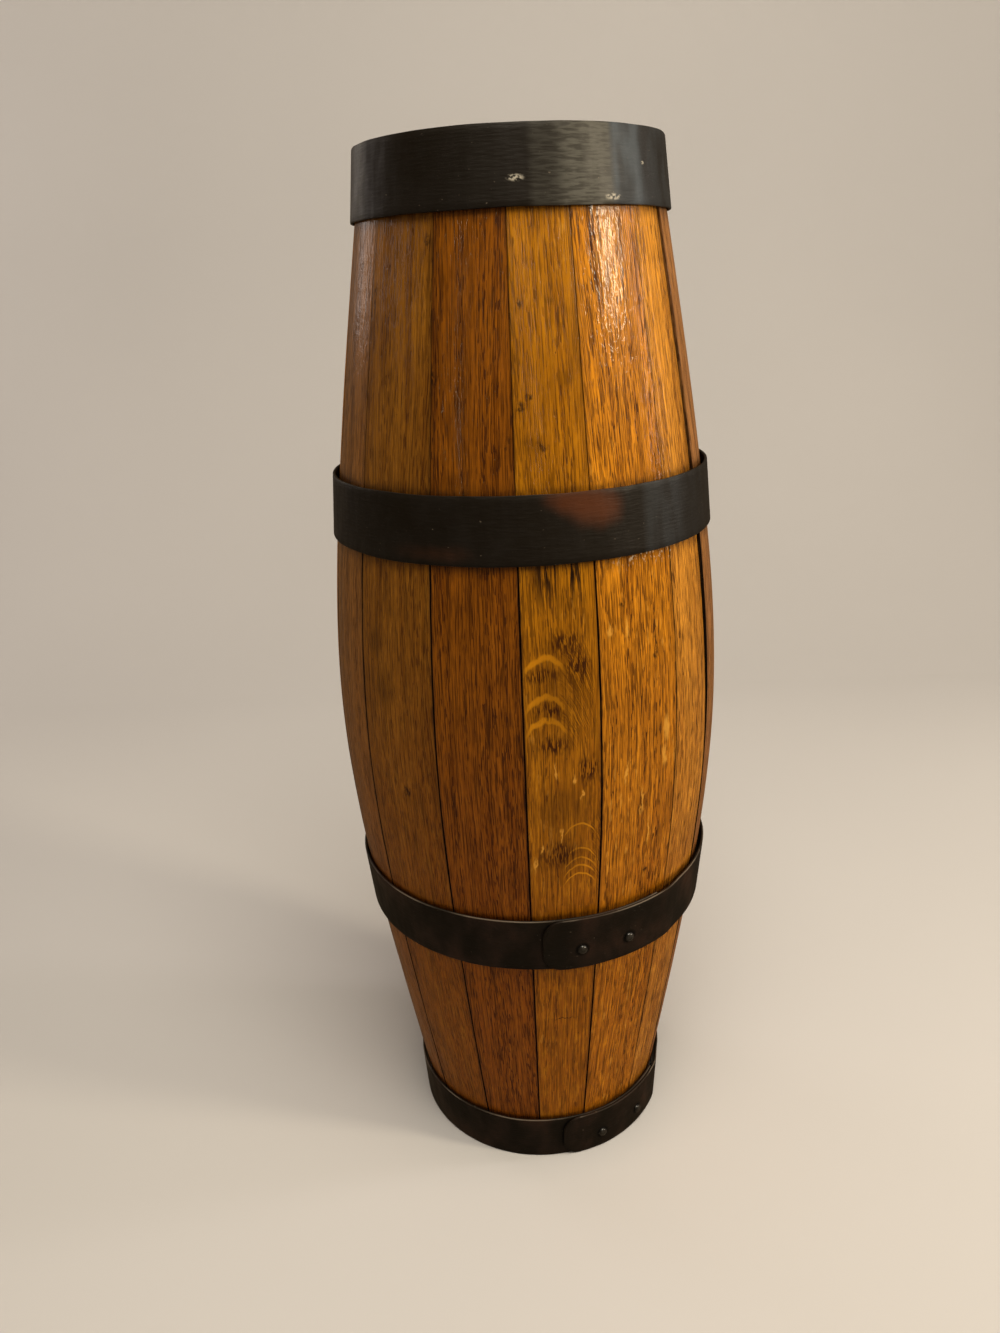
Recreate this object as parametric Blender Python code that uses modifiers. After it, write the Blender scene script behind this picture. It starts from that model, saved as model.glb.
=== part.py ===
"""Oak wine barrel: fifteen staves, four riveted hoops, two doweled heads and a bung.

Metres, +Z up. The barrel stands on the ends of its staves at z = 0, its axis is the Z axis,
and its front faces -Y. Bearings are degrees round the axis from the front, growing towards +X.
"""

import math

import bmesh
import bpy
from mathutils import Matrix, Vector

MM = 0.001

# Driving dimensions of the cask
HEIGHT = 660 * MM
BELLY_RADIUS = 125.7 * MM
CHIME_RADIUS = 83.8 * MM
BEND = 0.4                      # softness of the belly bend, as a share of half the height

# Staves
STAVE_WIDTHS = (26.4, 24.3, 20.6, 25.7, 19.0, 27.0, 24.0, 27.0, 25.0, 26.0, 22.0, 25.0, 21.5, 24.0, 22.5)
FIRST_SEAM = -52.0              # bearing of the seam where the first stave starts
BUNG_STAVE = 9                  # counted from zero; it is centred on the back of the barrel
OPEN_SEAM = 5                   # the one seam that has dried open, counted from zero
SEAM_GAP = 0.4 * MM
OPEN_SEAM_GAP = 1.6 * MM
END_THICKNESS = 16 * MM
BELLY_THICKNESS = 13 * MM
CHIME_FACE = 9 * MM             # flat width of a stave's end
CHIME_BEVEL = 10 * MM           # how far the inner bevel runs in from the end
CROZE_FROM_END = 22 * MM
CROZE_WIDTH = 6 * MM
CROZE_DEPTH = 5 * MM
CROZE_DRAFT = 0.5 * MM          # each croze wall leans this far over its depth
STAVE_SPANS = 16                # straight lengths in a stave's outline
STAVE_STEPS = 4                 # flats across a stave

# Hoops, each with the heights of its edges and its clearance to the staves there
HOOP_IRON = 1.6 * MM
HOOP_SHAPES = {
    "bottom_chime_hoop": (0.6 * MM, 34.6 * MM, 4.6 * MM, 0.9 * MM),
    "lower_bilge_hoop": (183.0 * MM, 221.0 * MM, 2.6 * MM, 1.3 * MM),
    "upper_bilge_hoop": (444.5 * MM, 482.0 * MM, 0.6 * MM, 2.4 * MM),
    "top_chime_hoop": (621.5 * MM, 659.4 * MM, 0.6 * MM, 3.0 * MM),
}
# Bearing of the lap's free end, length of the lap and rivets' distances from the free end, in degrees
HOOP_LAPS = {
    "bottom_chime_hoop": (9.2, 54.0, (18.3, 39.6)),
    "lower_bilge_hoop": (1.7, 38.0, (11.7, 27.1)),
    "upper_bilge_hoop": (186.0, 38.0, (11.7, 27.1)),
    "top_chime_hoop": (192.0, 54.0, (18.3, 39.6)),
}
HOOP_DRIFT = {"lower_bilge_hoop": 0.7 * MM}   # a hoop that sits over towards +X
LAP_GAP = 0.3 * MM
LAP_SETTLE = 10.0               # degrees over which the outer layer comes down to the staves
LAP_CORNER = 12 * MM
CORNER_STEPS = 4
HOOP_STEP = 6.0                 # degrees between the hoop's bends

# Rivets
RIVET_HEAD = 3.3 * MM
RIVET_DOME = 2.2 * MM
RIVET_SHANK = 2.2 * MM
RIVET_TAIL = 3.0 * MM
TAIL_THICKNESS = 0.4 * MM
RIVET_SEAT = 0.25 * MM          # clearance under the head and over the tail
RIVET_HOLE = 2.5 * MM
RIVET_DROP = 4 * MM             # below the hoop's middle
DOME_STEPS = 4

# Heads, three boards each
HEAD_THICKNESS = 14 * MM
HEAD_CLEARANCE = 0.6 * MM       # between the head's rim and the bottom of the croze
RIM_THICKNESS = 4.6 * MM
RIM_WIDTH = 6.5 * MM
HEAD_BEVEL = 8 * MM
MIDDLE_BOARD = 54 * MM
BOARD_GAP = 0.4 * MM
DOWEL_RADIUS = 3.5 * MM
DOWEL_LENGTH = 36 * MM
DOWEL_CLEARANCE = 0.3 * MM
DOWEL_SPREAD = 25 * MM          # distance of each dowel from the middle of its joint
HEAD_STEPS = 48

# Bung, a tapered plug in a tapered hole half-way up the back
BUNG_RADIUS = 19 * MM           # at the stave's outer face
BUNG_TAPER = 0.1                # radius lost per length
BUNG_PROUD = 5 * MM
BUNG_LENGTH = 22 * MM
BUNG_CLEARANCE = 0.35 * MM
BUNG_EDGE = 1.5 * MM
ROUND_STEPS = 24
SMALL_ROUND_STEPS = 12
AXIS_WELD = 0.01 * MM           # points of a turned piece this close on its axis are one

# Name, linear colour, roughness, metallic
GOLDEN_OAK = ("varnished_oak_golden", (0.36, 0.17, 0.055, 1), 0.38, 0.0)
RUSSET_OAK = ("varnished_oak_russet", (0.27, 0.105, 0.038, 1), 0.38, 0.0)
BROWN_OAK = ("varnished_oak_brown", (0.20, 0.095, 0.042, 1), 0.42, 0.0)
HEAD_OAK = ("sawn_oak_head", (0.30, 0.15, 0.06, 1), 0.55, 0.0)
DOWEL_WOOD = ("turned_dowel_wood", (0.42, 0.26, 0.12, 1), 0.6, 0.0)
BUNG_WOOD = ("turned_bung_wood", (0.38, 0.20, 0.08, 1), 0.55, 0.0)
HOOP_PAINT = ("black_painted_iron", (0.022, 0.019, 0.018, 1), 0.42, 0.6)
STAVE_TONES = (BROWN_OAK, RUSSET_OAK, GOLDEN_OAK, GOLDEN_OAK, RUSSET_OAK)


def clear_scene():
    for thing in list(bpy.data.objects):
        bpy.data.objects.remove(thing, do_unlink=True)


def new_collection(name):
    made = bpy.data.collections.new(name)
    bpy.context.scene.collection.children.link(made)
    return made


def material(look):
    """The Principled material of that name, made on first use."""
    name, colour, roughness, metallic = look
    found = bpy.data.materials.get(name)
    if found:
        return found
    made = bpy.data.materials.new(name)
    made.use_nodes = True
    shader = made.node_tree.nodes["Principled BSDF"]
    shader.inputs["Base Color"].default_value = colour
    shader.inputs["Roughness"].default_value = roughness
    shader.inputs["Metallic"].default_value = metallic
    made.diffuse_color = colour
    return made


def add_object(name, bm, collection, look=None):
    """Turn a bmesh into a named object, its faces turned outwards."""
    bmesh.ops.recalc_face_normals(bm, faces=bm.faces)
    mesh = bpy.data.meshes.new(name)
    bm.to_mesh(mesh)
    bm.free()
    made = bpy.data.objects.new(name, mesh)
    collection.objects.link(made)
    if look:
        mesh.materials.append(material(look))
    return made


def add_cutter(name, bm, collection):
    made = add_object(name, bm, collection)
    made.hide_render = True
    made.display_type = "WIRE"
    return made


def cut(target, tool, operation="DIFFERENCE"):
    boolean = target.modifiers.new(tool.name, "BOOLEAN")
    boolean.operation = operation
    boolean.solver = "EXACT"
    boolean.object = tool


def shade_smooth(made):
    for polygon in made.data.polygons:
        polygon.use_smooth = True


def turned(name, outline, steps, collection, look=None):
    """A solid turned about Z from (radius, height) points that run from the top down."""
    bm = bmesh.new()
    corners = [bm.verts.new((radius, 0, height)) for radius, height in outline]
    for upper, lower in zip(corners, corners[1:]):
        bm.edges.new((upper, lower))
    made = add_object(name, bm, collection, look)
    screw = made.modifiers.new("Turn", "SCREW")
    screw.steps = steps
    screw.render_steps = steps
    screw.use_merge_vertices = True
    screw.merge_threshold = AXIS_WELD
    shade_smooth(made)
    return made


def outward(bearing):
    """The level direction that points out of the barrel at a bearing."""
    angle = math.radians(bearing)
    return Vector((math.sin(angle), -math.cos(angle), 0))


def stave_radius(z):
    """Outer radius of the staves at a height: bent at the belly, nearly straight towards the ends."""
    share = abs(2 * z / HEIGHT - 1)
    sweep = math.hypot(share, BEND) - BEND
    full_sweep = math.hypot(1, BEND) - BEND
    return BELLY_RADIUS - (BELLY_RADIUS - CHIME_RADIUS) * sweep / full_sweep


def bore_radius(z):
    """Inner radius of the staves at a height; they are hollowed thinner at the belly."""
    share = abs(2 * z / HEIGHT - 1)
    return stave_radius(z) - BELLY_THICKNESS - (END_THICKNESS - BELLY_THICKNESS) * share


def end_outline():
    """Inner outline of a stave's lower end, from its end face to just past the croze."""
    croze_top = CROZE_FROM_END + CROZE_WIDTH
    return [
        (CHIME_RADIUS - CHIME_FACE, 0),
        (bore_radius(CHIME_BEVEL), CHIME_BEVEL),
        (bore_radius(CROZE_FROM_END), CROZE_FROM_END),
        (croze_floor(), CROZE_FROM_END + CROZE_DRAFT),
        (croze_floor(), croze_top - CROZE_DRAFT),
        (bore_radius(croze_top), croze_top),
    ]


def croze_floor():
    return bore_radius(CROZE_FROM_END) + CROZE_DEPTH


def stave_outline():
    """Closed outline of a stave seen from its edge, as (radius, height) points."""
    heights = [HEIGHT * step / STAVE_SPANS for step in range(STAVE_SPANS + 1)]
    outside = [(stave_radius(z), z) for z in reversed(heights)]
    lower_end = end_outline()
    upper_end = [(radius, HEIGHT - z) for radius, z in reversed(lower_end)]
    croze_top = lower_end[-1][1]
    hollow = [(bore_radius(z), z) for z in heights if croze_top < z < HEIGHT - croze_top]
    return outside + lower_end + hollow + upper_end


def stave(name, start, width, look, collection):
    """One stave: its outline carried round the axis from one seam to the next."""
    bm = bmesh.new()
    outline = bm.faces.new([bm.verts.new((radius, 0, z)) for radius, z in stave_outline()])
    from_x_axis = Matrix.Rotation(math.radians(start - 90), 3, "Z")
    bmesh.ops.rotate(bm, verts=bm.verts, cent=(0, 0, 0), matrix=from_x_axis)
    bmesh.ops.spin(
        bm,
        geom=list(outline.verts) + list(outline.edges) + [outline],
        angle=math.radians(width),
        steps=STAVE_STEPS,
        axis=(0, 0, 1),
        cent=(0, 0, 0),
    )
    return add_object(name, bm, collection, look)


def half_gap(seam):
    """Half a seam's width as degrees round the belly."""
    gap = OPEN_SEAM_GAP if seam % len(STAVE_WIDTHS) == OPEN_SEAM else SEAM_GAP
    return math.degrees(gap / 2 / BELLY_RADIUS)


def add_staves(parts, cutters):
    seam = FIRST_SEAM
    for index, width in enumerate(STAVE_WIDTHS):
        start = seam + half_gap(index)
        end = seam + width - half_gap(index + 1)
        name = "bung_stave" if index == BUNG_STAVE else f"stave_{index + 1:02d}"
        made = stave(name, start, end - start, STAVE_TONES[index % len(STAVE_TONES)], parts)
        if index == BUNG_STAVE:
            cut(made, bung_hole(cutters))
        seam += width


def bung_radius(depth):
    """Radius of the bung's taper at a depth below the stave's outer face."""
    return BUNG_RADIUS - BUNG_TAPER * depth


def place_on_back(made):
    """Lay a turned piece's axis along +Y with its zero height at the face of the bung stave."""
    made.matrix_world = Matrix.Translation((0, BELLY_RADIUS, HEIGHT / 2)) @ Matrix.Rotation(
        -math.pi / 2, 4, "X"
    )


def bung_hole(cutters):
    outline = [
        (0, BUNG_LENGTH),
        (bung_radius(-BUNG_LENGTH) + BUNG_CLEARANCE, BUNG_LENGTH),
        (bung_radius(BUNG_LENGTH) + BUNG_CLEARANCE, -BUNG_LENGTH),
        (0, -BUNG_LENGTH),
    ]
    made = turned("bung_hole", outline, ROUND_STEPS, cutters)
    made.hide_render = True
    made.display_type = "WIRE"
    place_on_back(made)
    return made


def add_bung(parts):
    inner_end = BUNG_PROUD - BUNG_LENGTH
    rim = bung_radius(-BUNG_PROUD)
    tip = bung_radius(-inner_end)
    outline = [
        (0, BUNG_PROUD),
        (rim - BUNG_EDGE, BUNG_PROUD),
        (rim, BUNG_PROUD - BUNG_EDGE),
        (tip, inner_end + BUNG_EDGE),
        (tip - BUNG_EDGE, inner_end),
        (0, inner_end),
    ]
    place_on_back(turned("bung", outline, ROUND_STEPS, parts, BUNG_WOOD))


def hoop_radius(name, z):
    """Inner radius of a hoop, a cone set by its clearance to the staves at its two edges."""
    low, high, low_clearance, high_clearance = HOOP_SHAPES[name]
    low_radius = stave_radius(low) + low_clearance
    high_radius = stave_radius(high) + high_clearance
    return low_radius + (high_radius - low_radius) * (z - low) / (high - low)


def hoop_stations(name):
    """(degrees from the free end, half width) down the hoop, the free end's corners rounded."""
    low, high = HOOP_SHAPES[name][:2]
    half_width = (high - low) / 2
    to_degrees = math.degrees(1 / hoop_radius(name, (low + high) / 2))
    stations = []
    for step in range(CORNER_STEPS + 1):
        turn = math.pi / 2 * step / CORNER_STEPS
        along = LAP_CORNER * (1 - math.cos(turn))
        stations.append((along * to_degrees, half_width - LAP_CORNER * (1 - math.sin(turn))))
    rounded = stations[-1][0]
    length = 360 + HOOP_LAPS[name][1]
    spans = math.ceil((length - rounded) / HOOP_STEP)
    for step in range(1, spans + 1):
        stations.append((rounded + (length - rounded) * step / spans, half_width))
    return stations


def lap_lift(name, turn):
    """How far a hoop stands out at some degrees from its free end, where it lies over itself."""
    settled = (turn - HOOP_LAPS[name][1] - HOOP_STEP / 2) / LAP_SETTLE
    settled = min(max(settled, 0), 1)
    return (HOOP_IRON + LAP_GAP) * (1 - settled * settled * (3 - 2 * settled))


def add_hoop(name, parts, cutters):
    """A strip bent round the staves until it laps itself, riveted through the lap."""
    low, high = HOOP_SHAPES[name][:2]
    free_end, _, rivets = HOOP_LAPS[name]
    stations = hoop_stations(name)
    bm = bmesh.new()
    bmesh.ops.create_grid(bm, x_segments=len(stations) - 1, y_segments=1, size=1)
    for vert in bm.verts:
        turn, half_width = stations[round((vert.co.x + 1) / 2 * (len(stations) - 1))]
        z = (low + high) / 2 + half_width * vert.co.y
        radius = hoop_radius(name, z) + lap_lift(name, turn)
        vert.co = outward(free_end + turn) * radius
        vert.co.x += HOOP_DRIFT.get(name, 0)
        vert.co.z = z
    made = add_object(name, bm, parts, HOOP_PAINT)
    first = made.data.polygons[0]
    faces_out = first.normal.dot(Vector((first.center.x, first.center.y, 0))) > 0
    iron = made.modifiers.new("Iron", "SOLIDIFY")
    iron.thickness = HOOP_IRON
    iron.offset = 1 if faces_out else -1
    iron.use_even_offset = True
    for number, turn in enumerate(rivets, 1):
        add_rivet(made, name, number, free_end + turn, parts, cutters)


def add_rivet(hoop, hoop_name, number, bearing, parts, cutters):
    """A domed rivet through both layers of a lap, square to the hoop, and its hole."""
    low, high = HOOP_SHAPES[hoop_name][:2]
    z = (low + high) / 2 - RIVET_DROP
    slope = (hoop_radius(hoop_name, high) - hoop_radius(hoop_name, low)) / (high - low)
    axis = (outward(bearing) - Vector((0, 0, slope))).normalized()
    seat = outward(bearing) * hoop_radius(hoop_name, z)
    seat += Vector((HOOP_DRIFT.get(hoop_name, 0), 0, z))
    stand = Matrix.Translation(seat) @ axis.to_track_quat("Z", "Y").to_matrix().to_4x4()
    grip = 2 * HOOP_IRON + LAP_GAP + RIVET_SEAT
    outline = []
    for step in range(DOME_STEPS + 1):
        turn = math.pi / 2 * step / DOME_STEPS
        outline.append((RIVET_HEAD * math.sin(turn), grip + RIVET_DOME * math.cos(turn)))
    outline += [
        (RIVET_SHANK, grip),
        (RIVET_SHANK, -RIVET_SEAT),
        (RIVET_TAIL, -RIVET_SEAT),
        (RIVET_TAIL, -RIVET_SEAT - TAIL_THICKNESS),
        (0, -RIVET_SEAT - TAIL_THICKNESS),
    ]
    rivet_name = f"{hoop_name}_rivet_{number}"
    made = turned(rivet_name, outline, SMALL_ROUND_STEPS, parts, HOOP_PAINT)
    made.matrix_world = stand
    bm = bmesh.new()
    bmesh.ops.create_cone(
        bm,
        cap_ends=True,
        segments=SMALL_ROUND_STEPS,
        radius1=RIVET_HOLE,
        radius2=RIVET_HOLE,
        depth=4 * grip,
    )
    hole = add_cutter(f"{rivet_name}_hole", bm, cutters)
    hole.matrix_world = stand
    cut(hoop, hole)


def head_outline():
    """Half of a head's section about its mid plane, (radius, height) points from the top down."""
    rim = croze_floor() - HEAD_CLEARANCE
    shoulder = rim - RIM_WIDTH
    upper = [
        (0, HEAD_THICKNESS / 2),
        (shoulder - HEAD_BEVEL, HEAD_THICKNESS / 2),
        (shoulder, RIM_THICKNESS / 2),
        (rim, RIM_THICKNESS / 2),
    ]
    return upper + [(radius, -z) for radius, z in reversed(upper)]


def board_box(name, near, far, cutters):
    """A block that keeps the part of a head between two lines parallel to X."""
    bm = bmesh.new()
    bmesh.ops.create_cube(bm, size=1)
    bmesh.ops.scale(bm, verts=bm.verts, vec=(2 * BELLY_RADIUS, far - near, 2 * HEAD_THICKNESS))
    bmesh.ops.translate(bm, verts=bm.verts, vec=(0, (near + far) / 2, 0))
    return add_cutter(name, bm, cutters)


def dowel_rod(name, radius, length, place, collection, look=None):
    bm = bmesh.new()
    bmesh.ops.create_cone(
        bm,
        cap_ends=True,
        segments=SMALL_ROUND_STEPS,
        radius1=radius,
        radius2=radius,
        depth=length,
        matrix=Matrix.Rotation(math.pi / 2, 4, "X"),
    )
    made = add_object(name, bm, collection, look)
    made.location = place
    return made


def add_head(end, z, parts, cutters):
    """Three boards side by side in the croze, held to each other by two dowels a joint."""
    edge = MIDDLE_BOARD / 2
    spans = {
        "front_board": (-BELLY_RADIUS, -edge - BOARD_GAP / 2),
        "middle_board": (-edge + BOARD_GAP / 2, edge - BOARD_GAP / 2),
        "back_board": (edge + BOARD_GAP / 2, BELLY_RADIUS),
    }
    boards = {}
    for label, (near, far) in spans.items():
        name = f"{end}_head_{label}"
        board = turned(name, head_outline(), HEAD_STEPS, parts, HEAD_OAK)
        box = board_box(f"{name}_span", near, far, cutters)
        for thing in (board, box):
            thing.location.z = z
        cut(board, box, "INTERSECT")
        boards[label] = board
    for label, y in (("front_board", -edge), ("back_board", edge)):
        for side, x in (("left", -DOWEL_SPREAD), ("right", DOWEL_SPREAD)):
            name = f"{end}_head_{label.split('_')[0]}_{side}_dowel"
            place = (x, y, z)
            dowel_rod(name, DOWEL_RADIUS, DOWEL_LENGTH, place, parts, DOWEL_WOOD)
            room = DOWEL_RADIUS + DOWEL_CLEARANCE
            hole_length = DOWEL_LENGTH + 4 * DOWEL_CLEARANCE
            hole = dowel_rod(f"{name}_hole", room, hole_length, place, cutters)
            hole.hide_render = True
            hole.display_type = "WIRE"
            cut(boards[label], hole)
            cut(boards["middle_board"], hole)


def main():
    clear_scene()
    parts = new_collection("oak_wine_barrel")
    cutters = new_collection("cutters")
    add_staves(parts, cutters)
    for name in HOOP_SHAPES:
        add_hoop(name, parts, cutters)
    head_height = CROZE_FROM_END + CROZE_WIDTH / 2
    add_head("bottom", head_height, parts, cutters)
    add_head("top", HEIGHT - head_height, parts, cutters)
    add_bung(parts)


main()
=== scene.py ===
import math

import bmesh
import bpy
from bpy.props import FloatProperty, FloatVectorProperty, PointerProperty
from mathutils import Matrix, Vector, noise


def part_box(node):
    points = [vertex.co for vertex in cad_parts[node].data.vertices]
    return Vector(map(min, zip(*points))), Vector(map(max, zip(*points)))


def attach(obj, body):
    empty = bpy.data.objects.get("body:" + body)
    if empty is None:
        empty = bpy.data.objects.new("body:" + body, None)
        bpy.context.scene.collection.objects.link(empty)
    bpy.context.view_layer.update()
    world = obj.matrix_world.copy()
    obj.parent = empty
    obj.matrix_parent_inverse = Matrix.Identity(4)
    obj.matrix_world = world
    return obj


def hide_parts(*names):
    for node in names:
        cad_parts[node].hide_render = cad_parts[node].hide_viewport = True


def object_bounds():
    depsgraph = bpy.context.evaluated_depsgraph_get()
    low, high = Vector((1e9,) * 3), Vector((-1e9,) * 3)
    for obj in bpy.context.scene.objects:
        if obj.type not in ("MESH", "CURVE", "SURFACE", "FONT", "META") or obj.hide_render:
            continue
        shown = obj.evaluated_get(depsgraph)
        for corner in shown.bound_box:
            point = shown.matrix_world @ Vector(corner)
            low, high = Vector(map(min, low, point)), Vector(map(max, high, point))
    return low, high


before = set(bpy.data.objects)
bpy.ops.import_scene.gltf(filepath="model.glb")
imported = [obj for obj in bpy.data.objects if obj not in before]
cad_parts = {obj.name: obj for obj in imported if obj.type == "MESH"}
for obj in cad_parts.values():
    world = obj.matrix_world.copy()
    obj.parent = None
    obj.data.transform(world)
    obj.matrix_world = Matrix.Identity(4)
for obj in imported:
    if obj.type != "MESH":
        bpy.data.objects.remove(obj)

bl_info = {
    "name": "Oak Wine Barrel",
    "version": (1, 0, 0),
    "blender": (4, 5, 0),
    "location": "View3D > Sidebar > Barrel",
    "description": "Dresses the barrel's frame with varnished oak staves and painted iron hoops",
    "category": "Add Mesh",
}

# All lengths are metres in the frame's axes: +Z up the barrel, front towards -Y.
# A bearing is degrees round the barrel's axis from the front, growing towards +X.
MM = 0.001
CAD_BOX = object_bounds()
CASK = "cask"


def linear(hex_colour):
    """An sRGB hex value as linear red, green, blue and alpha."""
    values = [int(hex_colour[start:start + 2], 16) / 255 for start in (1, 3, 5)]
    bright = [((v + 0.055) / 1.055) ** 2.4 if v > 0.04045 else v / 12.92 for v in values]
    return (*bright, 1.0)


def length_property(name, description, default):
    return FloatProperty(name=name, description=description, default=default, unit="LENGTH", min=0)


def colour_property(name, description, hex_colour):
    return FloatVectorProperty(
        name=name, description=description, default=linear(hex_colour), subtype="COLOR", size=4, min=0, max=1
    )


class CaskSizes(bpy.types.PropertyGroup):
    """Sizes of the staves and heads."""

    height: length_property("Height", "Length of the staves along the axis", CAD_BOX[1].z)
    belly_radius: length_property("Belly radius", "Outer radius half-way up", CAD_BOX[1].x - 0.1 * MM)
    chime_radius: length_property("Chime radius", "Outer radius at the ends", 83.8 * MM)
    bend: FloatProperty(name="Bend", description="Softness of the belly bend", default=0.4, min=0.05)
    belly_thickness: length_property("Belly thickness", "Stave thickness half-way up", 13 * MM)
    end_thickness: length_property("End thickness", "Stave thickness at the ends", 16 * MM)
    chime_face: length_property("Chime face", "Flat width of a stave's end", 9 * MM)
    chime_bevel: length_property("Chime bevel", "Run of the bevel inside a stave's end", 10 * MM)
    croze_from_end: length_property("Croze from end", "Distance of the head's groove from the end", 22 * MM)
    croze_width: length_property("Croze width", "Width of the head's groove", 6 * MM)
    croze_depth: length_property("Croze depth", "Depth of the head's groove", 5 * MM)
    arris: length_property("Arris", "Rounding of a stave's long edges", 0.35 * MM)
    closing: length_property("Closing", "How much wider a stave is where its seams are tight", 0.1 * MM)
    head_thickness: length_property("Head thickness", "Thickness of a head board", 14 * MM)
    head_rim: length_property("Head rim", "Thickness of the rim in the groove", 4.6 * MM)
    head_bevel: length_property("Head bevel", "Run of the bevel behind the rim", 8 * MM)
    middle_board: length_property("Middle board", "Width of a head's middle board", 54 * MM)


class HoopSizes(bpy.types.PropertyGroup):
    """Sizes of the hoops and rivets."""

    iron: length_property("Iron", "Thickness of the hoop iron", 1.6 * MM)
    edge: length_property("Edge", "Rounding of the rolled edges", 0.5 * MM)
    lap_gap: length_property("Lap gap", "Space between the layers of a lap", 0.3 * MM)
    lap_corner: length_property("Lap corner", "Corner radius of a lap's free end", 12 * MM)
    rivet_head: length_property("Rivet head", "Radius of a rivet's head", 3.3 * MM)
    rivet_dome: length_property("Rivet dome", "Height of a rivet's head", 2.4 * MM)


class BungSizes(bpy.types.PropertyGroup):
    """Sizes of the bung."""

    radius: length_property("Radius", "Radius at the stave's face", 19 * MM)
    taper: FloatProperty(name="Taper", description="Radius lost per length", default=0.1, min=0)
    proud: length_property("Proud", "How far it stands out of the stave", 5 * MM)
    length: length_property("Length", "Whole length of the bung", 22 * MM)
    edge: length_property("Edge", "Rounding of its rims", 1.5 * MM)
    clearance: length_property("Clearance", "Space between it and its hole", 0.35 * MM)


class OakColours(bpy.types.PropertyGroup):
    """Tones of the varnished staves, one for each cut of oak, and of the bare wood."""

    rosy: colour_property("Rosy", "Pinkish brown stave", "#936029")
    dull: colour_property("Dull", "Grey-brown stave", "#895715")
    russet: colour_property("Russet", "Red-brown straight-grained stave", "#864c08")
    ochre: colour_property("Ochre", "Golden figured stave", "#ab6d0a")
    amber: colour_property("Amber", "Orange stave with ray flecks", "#c77e16")
    honey: colour_property("Honey", "Light orange stave", "#d58f30")
    tan: colour_property("Tan", "Pinkish tan stave", "#ae7642")
    # Painted shade: this colour makes the lower staves darker because less light reaches them there, not
    # because their varnish is darker
    lower_shade: colour_property("Foot", "Darkened varnish of the lower staves", "#984d06")
    pore: colour_property("Pore", "Dark open pores", "#351604")
    ray: colour_property("Ray", "Pale ray flecks", "#dc9c38")
    dirt: colour_property("Dirt", "Old dirt in knocks and by the hoops", "#1a0d05")
    # Painted shade: the black laid along the staves' eased edges stands for the shade down in the gaps
    # between staves
    seam: colour_property("Seam", "Black of the open seams", "#0a0502")
    # Partly whitened varnish, partly painted glints: it is laid only on the lit right front just under the
    # upper bilge hoop
    scuff: colour_property("Scuff", "Whitened varnish", "#cdb79a")
    bare: colour_property("Bare", "Planed wood of the heads", "#9a6c3c")
    turned: colour_property("Turned", "Turned wood of the bung and dowels", "#b28653")


class IronColours(bpy.types.PropertyGroup):
    """Colours of the painted hoops."""

    paint: colour_property("Paint", "Black-brown paint", "#140e06")
    slate: colour_property("Slate", "Greyer paint in clouds", "#1b1713")
    rust: colour_property("Rust", "Red-brown stain under thin paint", "#562d14")
    # Partly bare iron, partly painted glint: the pale line goes mostly on the upper edges of the lower
    # hoops, where light catches them
    worn_and_glint: colour_property("Worn", "Bare iron on the edges", "#85796a")
    # Partly handled paint, partly painted sheen: the grey stands for light caught by the top hoop's paint
    # and by the rivets' crowns
    rubbed: colour_property("Rubbed", "Grey of the handled paint", "#53524b")
    # Painted reflection: this blue-grey stands for a pale wall mirrored in the hoops' right side, not for
    # dulled paint
    cool: colour_property("Cool", "Blue-grey of the dulled paint", "#454c52")
    # Painted shade: near-black laid along the laps' free ends and round the rivets, where shade falls, not
    # grease
    grime: colour_property("Grime", "Black grease round the laps and rivets", "#050403")
    scratch: colour_property("Scratch", "Whitened scratches in the paint", "#b9b3a4")


class StageSettings(bpy.types.PropertyGroup):
    """The floor, the lights and the camera."""

    floor: colour_property("Floor", "Pale studio floor", "#d6d6d8")
    lens: FloatProperty(name="Lens", description="Focal length for a 36 mm long side", default=27.03)
    camera: FloatVectorProperty(
        name="Camera", description="Camera position", default=(0, -0.6375, 0.5856), subtype="TRANSLATION"
    )
    pitch: FloatProperty(
        name="Pitch", description="Camera tilt down", default=math.radians(20.84), subtype="ANGLE"
    )
    roll: FloatProperty(
        name="Roll", description="Camera roll", default=math.radians(2.64), subtype="ANGLE"
    )
    yaw: FloatProperty(
        name="Yaw", description="Camera turn to the left", default=math.radians(1.61), subtype="ANGLE"
    )


# Tone of each stave; the front staves are matched one by one
STAVE_TONES = {
    "stave_15": "rosy",
    "stave_01": "dull",
    "stave_02": "russet",
    "stave_03": "ochre",
    "stave_04": "amber",
    "stave_05": "honey",
    "stave_06": "tan",
    "stave_07": "russet",
    "stave_08": "dull",
    "stave_09": "amber",
    "bung_stave": "honey",
    "stave_11": "russet",
    "stave_12": "ochre",
    "stave_13": "dull",
    "stave_14": "amber",
}
# How strongly each tone shows its dark lines and its pale ray flecks
TONE_GRAIN = {
    "rosy": (0.6, 0.0),
    "dull": (0.6, 0.1),
    "russet": (0.85, 0.0),
    "ochre": (0.7, 0.25),
    "amber": (0.9, 0.45),
    "honey": (0.8, 0.35),
    "tan": (0.7, 0.1),
}
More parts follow.
